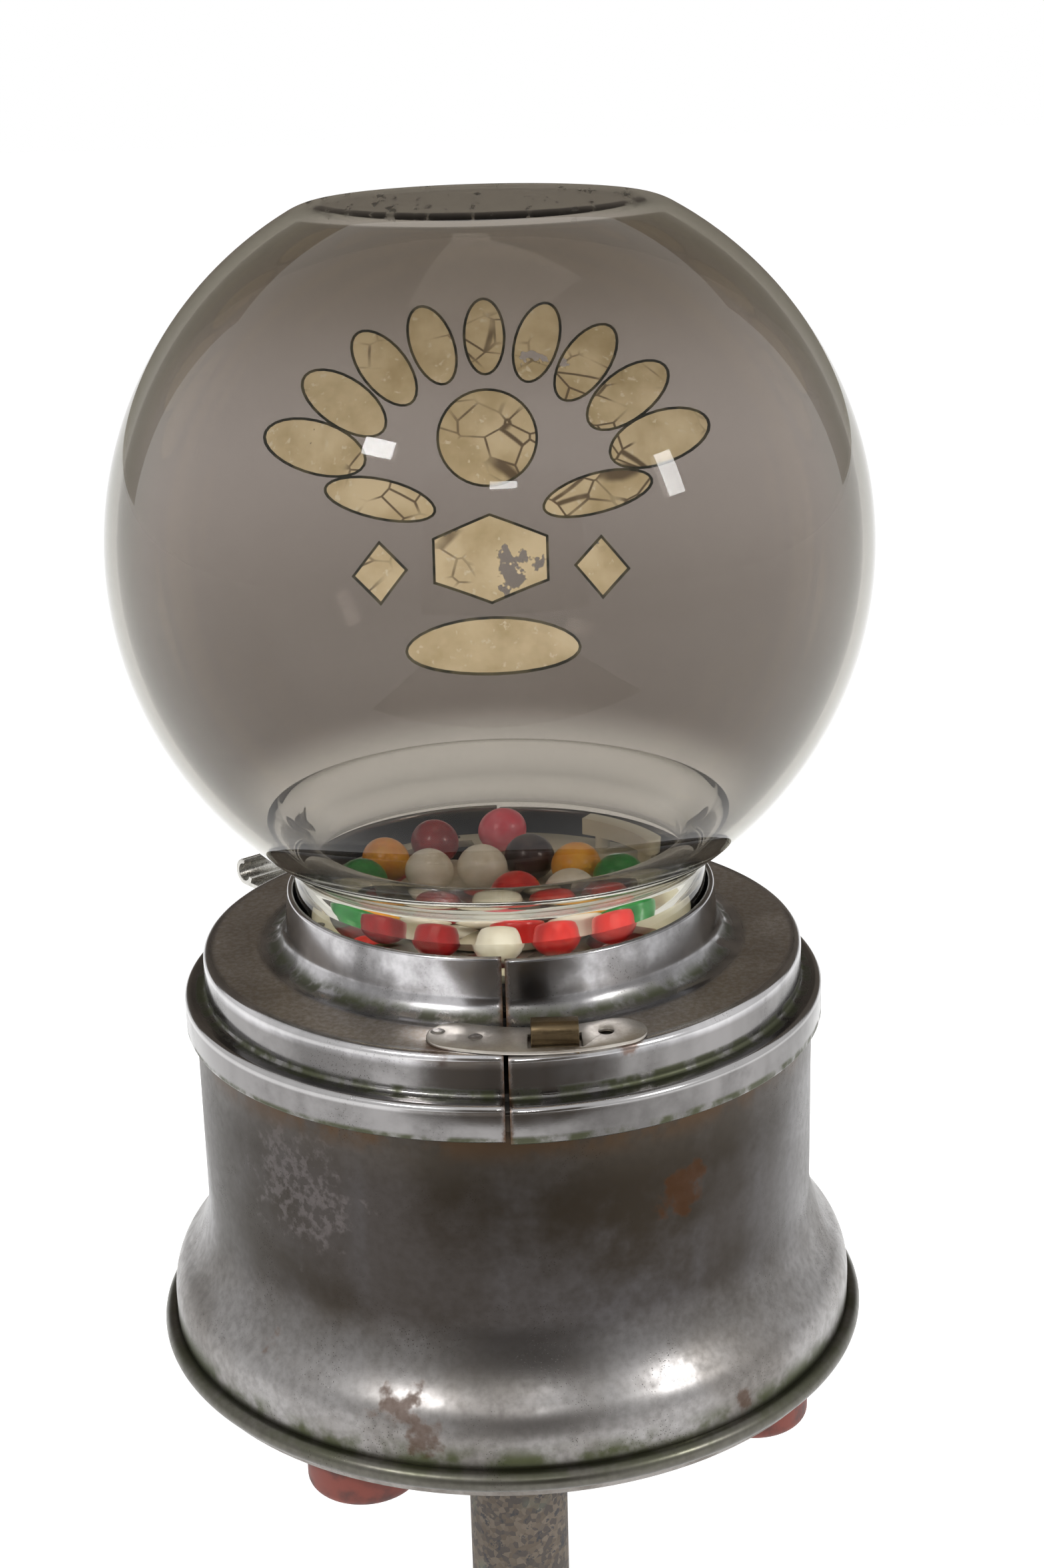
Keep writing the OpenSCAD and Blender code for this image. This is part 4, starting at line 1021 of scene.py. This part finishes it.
class GUMBALL_OT_gumballs(bpy.types.Operator):
    """Rolls the gumballs, each a little out of round"""
    bl_idname = "gumball.gumballs"
    bl_label = "Gumballs"

    def execute(self, context):
        chance = random.Random(4)
        for node, finish in CANDY.items():
            balls = []
            for centre in ball_centres(node):
                deselect()
                bpy.ops.mesh.primitive_uv_sphere_add(segments=40, ring_count=24, radius=BALL_R * MM)
                ball = bpy.context.object
                ball.scale = (1.0, chance.uniform(0.94, 1.0), chance.uniform(0.90, 0.97))
                settle(ball)
                ball.rotation_euler = (chance.uniform(-0.35, 0.35), chance.uniform(-0.35, 0.35),
                                       chance.uniform(0, 6.28))
                ball.location = centre
                balls.append(ball)
            piece = join("dressed_" + node, balls)
            smooth(piece, 60)
            hand_over(piece, finishes.get(finish), [node])
        return {"FINISHED"}


class GUMBALL_OT_hopper(PlainFinish, bpy.types.Operator):
    """Finishes the cream hopper floor, its guard and the pan under them"""
    bl_idname = "gumball.hopper"
    bl_label = "Hopper floor"
    rows = (("hopper_floor", "enamel", 0.3), ("gum_guard", "enamel", 0.5), ("wheel_pan", "casting", None),
            ("pan_screws", "nickel", 0.0))


class GUMBALL_OT_works(PlainFinish, bpy.types.Operator):
    """Finishes the gum wheel, the ratchet and the deck that carries them"""
    bl_idname = "gumball.works"
    bl_label = "Works"
    rows = (("globe_seat", "casting", 0.15), ("gum_wheel", "wheel", 0.15), ("wheel_nut", "steel", 0.15),
            ("spindle", "nickel", 0.15), ("spindle_clip", "steel", 0.15), ("spindle_bush", "staple", 0.15),
            ("ratchet_wheel check_pawl", "nickel", 0.15), ("check_pawl_pin", "steel", 0.15),
            ("drive_pawl", "nickel", 0.15), ("drive_pawl_pin", "steel", 0.15), ("return_spring", "nickel", 0.0),
            ("spring_post", "steel", 0.15), ("deck_plate", "casting", 0.15), ("gum_chute", "steel", 0.15))


class GUMBALL_OT_lever(PlainFinish, bpy.types.Operator):
    """Finishes the coin lever and its rolled finger tab"""
    bl_idname = "gumball.lever"
    bl_label = "Coin lever"
    rows = (("coin_lever finger_tab", "nickel", None), ("tab_rivets", "steel", 0.15))


class GUMBALL_OT_outlet(PlainFinish, bpy.types.Operator):
    """Finishes the outlet at the front and its flap"""
    bl_idname = "gumball.outlet"
    bl_label = "Outlet"
    rows = (("outlet_frame", "nickel", 0.5), ("outlet_flap", "bright", 0.2),
            ("outlet_screws", "steel", 0.15), ("flap_pin", "steel", 0.0))


class GUMBALL_OT_coin_entry(PlainFinish, bpy.types.Operator):
    """Finishes the coin slot's plate, its screws and the chute behind it"""
    bl_idname = "gumball.coin_entry"
    bl_label = "Coin entry"
    rows = (("coin_slot_plate", "nickel", 0.3), ("coin_slot_screws", "steel", 0.2),
            ("coin_chute", "steel", 0.0))


class GUMBALL_OT_foot(bpy.types.Operator):
    """Makes the pole and finishes the rubber feet and the foot's metalwork"""
    bl_idname = "gumball.foot"
    bl_label = "Pole and feet"

    def execute(self, context):
        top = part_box("pole")[1][2] / MM - RIM_Z
        outline = [(POLE_BORE_R, -RIM_Z), (POLE_R, -RIM_Z), (POLE_R, -60.0), (POLE_R, SPIGOT_FROM),
                   (SPIGOT_R, SPIGOT_FROM), (SPIGOT_R, top), (POLE_BORE_R, top)]
        pole = lathe("dressed_pole", outline, 96)
        smooth(pole, 35)
        hand_over(pole, finishes.get("pole"), ["pole"])
        finish_node("rubber_feet", finishes.get("rubber"), 0.4 * MM)
        for node in ("foot_screws", "base_plate", "flange_bolts", "flange_set_screw", "tie_rods"):
            finish_node(node, finishes.get("steel"), 0.2 * MM)
        finish_node("pipe_flange", finishes.get("casting"), 0.6 * MM)
        return {"FINISHED"}


class GUMBALL_OT_stage(bpy.types.Operator):
    """Sets the floor, the soft lights, the room and the camera"""
    bl_idname = "gumball.stage"
    bl_label = "Stage"

    def execute(self, context):
        scene = context.scene
        stage = scene.gumball_stage
        scene.view_settings.view_transform = "Standard"
        deselect()
        bpy.ops.mesh.primitive_plane_add(size=14.0, location=(0, 0, -0.0005))
        floor = bpy.context.object
        floor.name = "studio floor"
        paper, board, out, _ = finishes.start(
            "White paper", base_color=(0.90, 0.90, 0.90), roughness=0.9, emission_color=(1.0, 1.0, 1.0))
        board.feed(out["Specular IOR Level"], 0.0)
        board.feed(out["Emission Strength"], board.times(self.seen(board), FLOOR_GLOW))
        floor.data.materials.append(paper)
        self.cards()
        self.room(scene, stage)
        self.lights(stage)
        self.camera(scene, stage)
        return {"FINISHED"}

    def seen(self, board):
        """1 for rays from the camera, straight, mirrored or through glass."""
        path = board.node("ShaderNodeLightPath").outputs
        return board.most(board.most(path["Is Camera Ray"], path["Is Glossy Ray"]),
                          path["Is Transmission Ray"])

    def cards(self):
        """Dark cards round the machine that only mirrored light meets, so that bright metal has its darks."""
        cloth, board, out, _ = finishes.start("Dark cloth", base_color=(0.14, 0.12, 0.10))
        board.feed(out["Specular IOR Level"], 0.0)
        for name, place, lean, size in (("dark card behind", (0, 1.7, 1.25), 90, (4.6, 1.9)),
                                        ("dark card before", (0.2, -2.6, 1.1), 90, (2.2, 2.0)),
                                        ("dark card below", (0.05, -1.5, 0.002), 0, (0.8, 2.0))):
            deselect()
            bpy.ops.mesh.primitive_plane_add(size=1.0, location=place, rotation=(math.radians(lean), 0, 0))
            card = bpy.context.object
            card.name = name
            card.scale = size + (1.0,)
            card.data.materials.append(cloth)
            card.visible_camera = card.visible_diffuse = False
            card.visible_transmission = card.visible_shadow = False

    def room(self, scene, stage):
        world = bpy.data.worlds.new("White room")
        scene.world = world
        world.use_nodes = True
        tree = world.node_tree
        tree.nodes.clear()
        board = Board(tree)
        level = board.math("MULTIPLY_ADD", self.seen(board), 1.0 - stage.room_level, stage.room_level)
        back = board.node("ShaderNodeBackground", {"Color": (1.0, 1.0, 1.0, 1.0), "Strength": level})
        board.node("ShaderNodeOutputWorld", {"Surface": back.outputs[0]})

    def lights(self, stage):
        aim = Vector((0, 0, 0.30))
        for name, place, size, power in (
                ("key light", (-0.95, -1.25, 1.55), (0.30, 0.16), stage.key_power),
                ("fill light", (1.30, -0.85, 1.05), (0.16, 0.32), stage.fill_power),
                ("top light", (0.05, 0.10, 1.90), (0.80, 0.80), stage.fill_power),
                ("small light", (0.12, -1.50, 1.20), (0.22, 0.06), 0.3 * stage.fill_power)):
            deselect()
            bpy.ops.object.light_add(type="AREA", location=place)
            lamp = bpy.context.object
            lamp.name = name
            lamp.data.shape = "RECTANGLE"
            lamp.data.size, lamp.data.size_y = size
            lamp.data.energy = power
            lamp.visible_glossy = name != "top light"
            lamp.rotation_mode = "QUATERNION"
            lamp.rotation_quaternion = (aim - Vector(place)).to_track_quat("-Z", "Y")

    def camera(self, scene, stage):
        deselect()
        bpy.ops.object.camera_add()
        camera = bpy.context.object
        camera.data.sensor_fit = "VERTICAL"
        camera.data.sensor_height = 36.0
        camera.data.lens = stage.lens
        camera.data.clip_start, camera.data.clip_end = 0.01, 50.0
        pitch, yaw, roll = CAMERA_PITCH, CAMERA_YAW, CAMERA_ROLL
        ahead = Vector((math.sin(yaw) * math.cos(pitch), math.cos(yaw) * math.cos(pitch), -math.sin(pitch)))
        level = Vector((math.cos(yaw), -math.sin(yaw), 0))
        up = level.cross(ahead)
        right = math.cos(roll) * level + math.sin(roll) * up
        up = -math.sin(roll) * level + math.cos(roll) * up
        turn = Matrix((right, up, -ahead)).transposed().to_4x4()
        camera.matrix_world = Matrix.Translation(CAMERA_PLACE) @ turn
        scene.camera = camera


class GUMBALL_PT_panel(bpy.types.Panel):
    """Lists the steps and settings of the gumball machine"""
    bl_label = "Gumball Machine"
    bl_idname = "GUMBALL_PT_panel"
    bl_space_type = "VIEW_3D"
    bl_region_type = "UI"
    bl_category = "Gumball Machine"

    def draw(self, context):
        layout = self.layout
        for step in STEPS:
            layout.operator(step.bl_idname, text=step.bl_label)
        for group in (context.scene.gumball_machine, context.scene.gumball_stage):
            box = layout.box()
            for name in group.__annotations__:
                box.prop(group, name)


STEPS = (GUMBALL_OT_foot, GUMBALL_OT_body, GUMBALL_OT_works, GUMBALL_OT_hopper, GUMBALL_OT_gumballs,
         GUMBALL_OT_globe, GUMBALL_OT_decals, GUMBALL_OT_collar, GUMBALL_OT_hasp, GUMBALL_OT_hinge,
         GUMBALL_OT_lever, GUMBALL_OT_outlet, GUMBALL_OT_coin_entry, GUMBALL_OT_stage)
CLASSES = (GumballMachineSettings, GumballMachineStage, *STEPS, GUMBALL_PT_panel)


def register():
    for cls in CLASSES:
        bpy.utils.register_class(cls)
    bpy.types.Scene.gumball_machine = bpy.props.PointerProperty(type=GumballMachineSettings)
    bpy.types.Scene.gumball_stage = bpy.props.PointerProperty(type=GumballMachineStage)


def unregister():
    del bpy.types.Scene.gumball_stage
    del bpy.types.Scene.gumball_machine
    for cls in reversed(CLASSES):
        bpy.utils.unregister_class(cls)


def main():
    global finishes
    register()
    finishes = Finishes()
    for step in STEPS:
        getattr(bpy.ops.gumball, step.bl_idname.split(".")[1])()


if __name__ == "__main__":
    main()
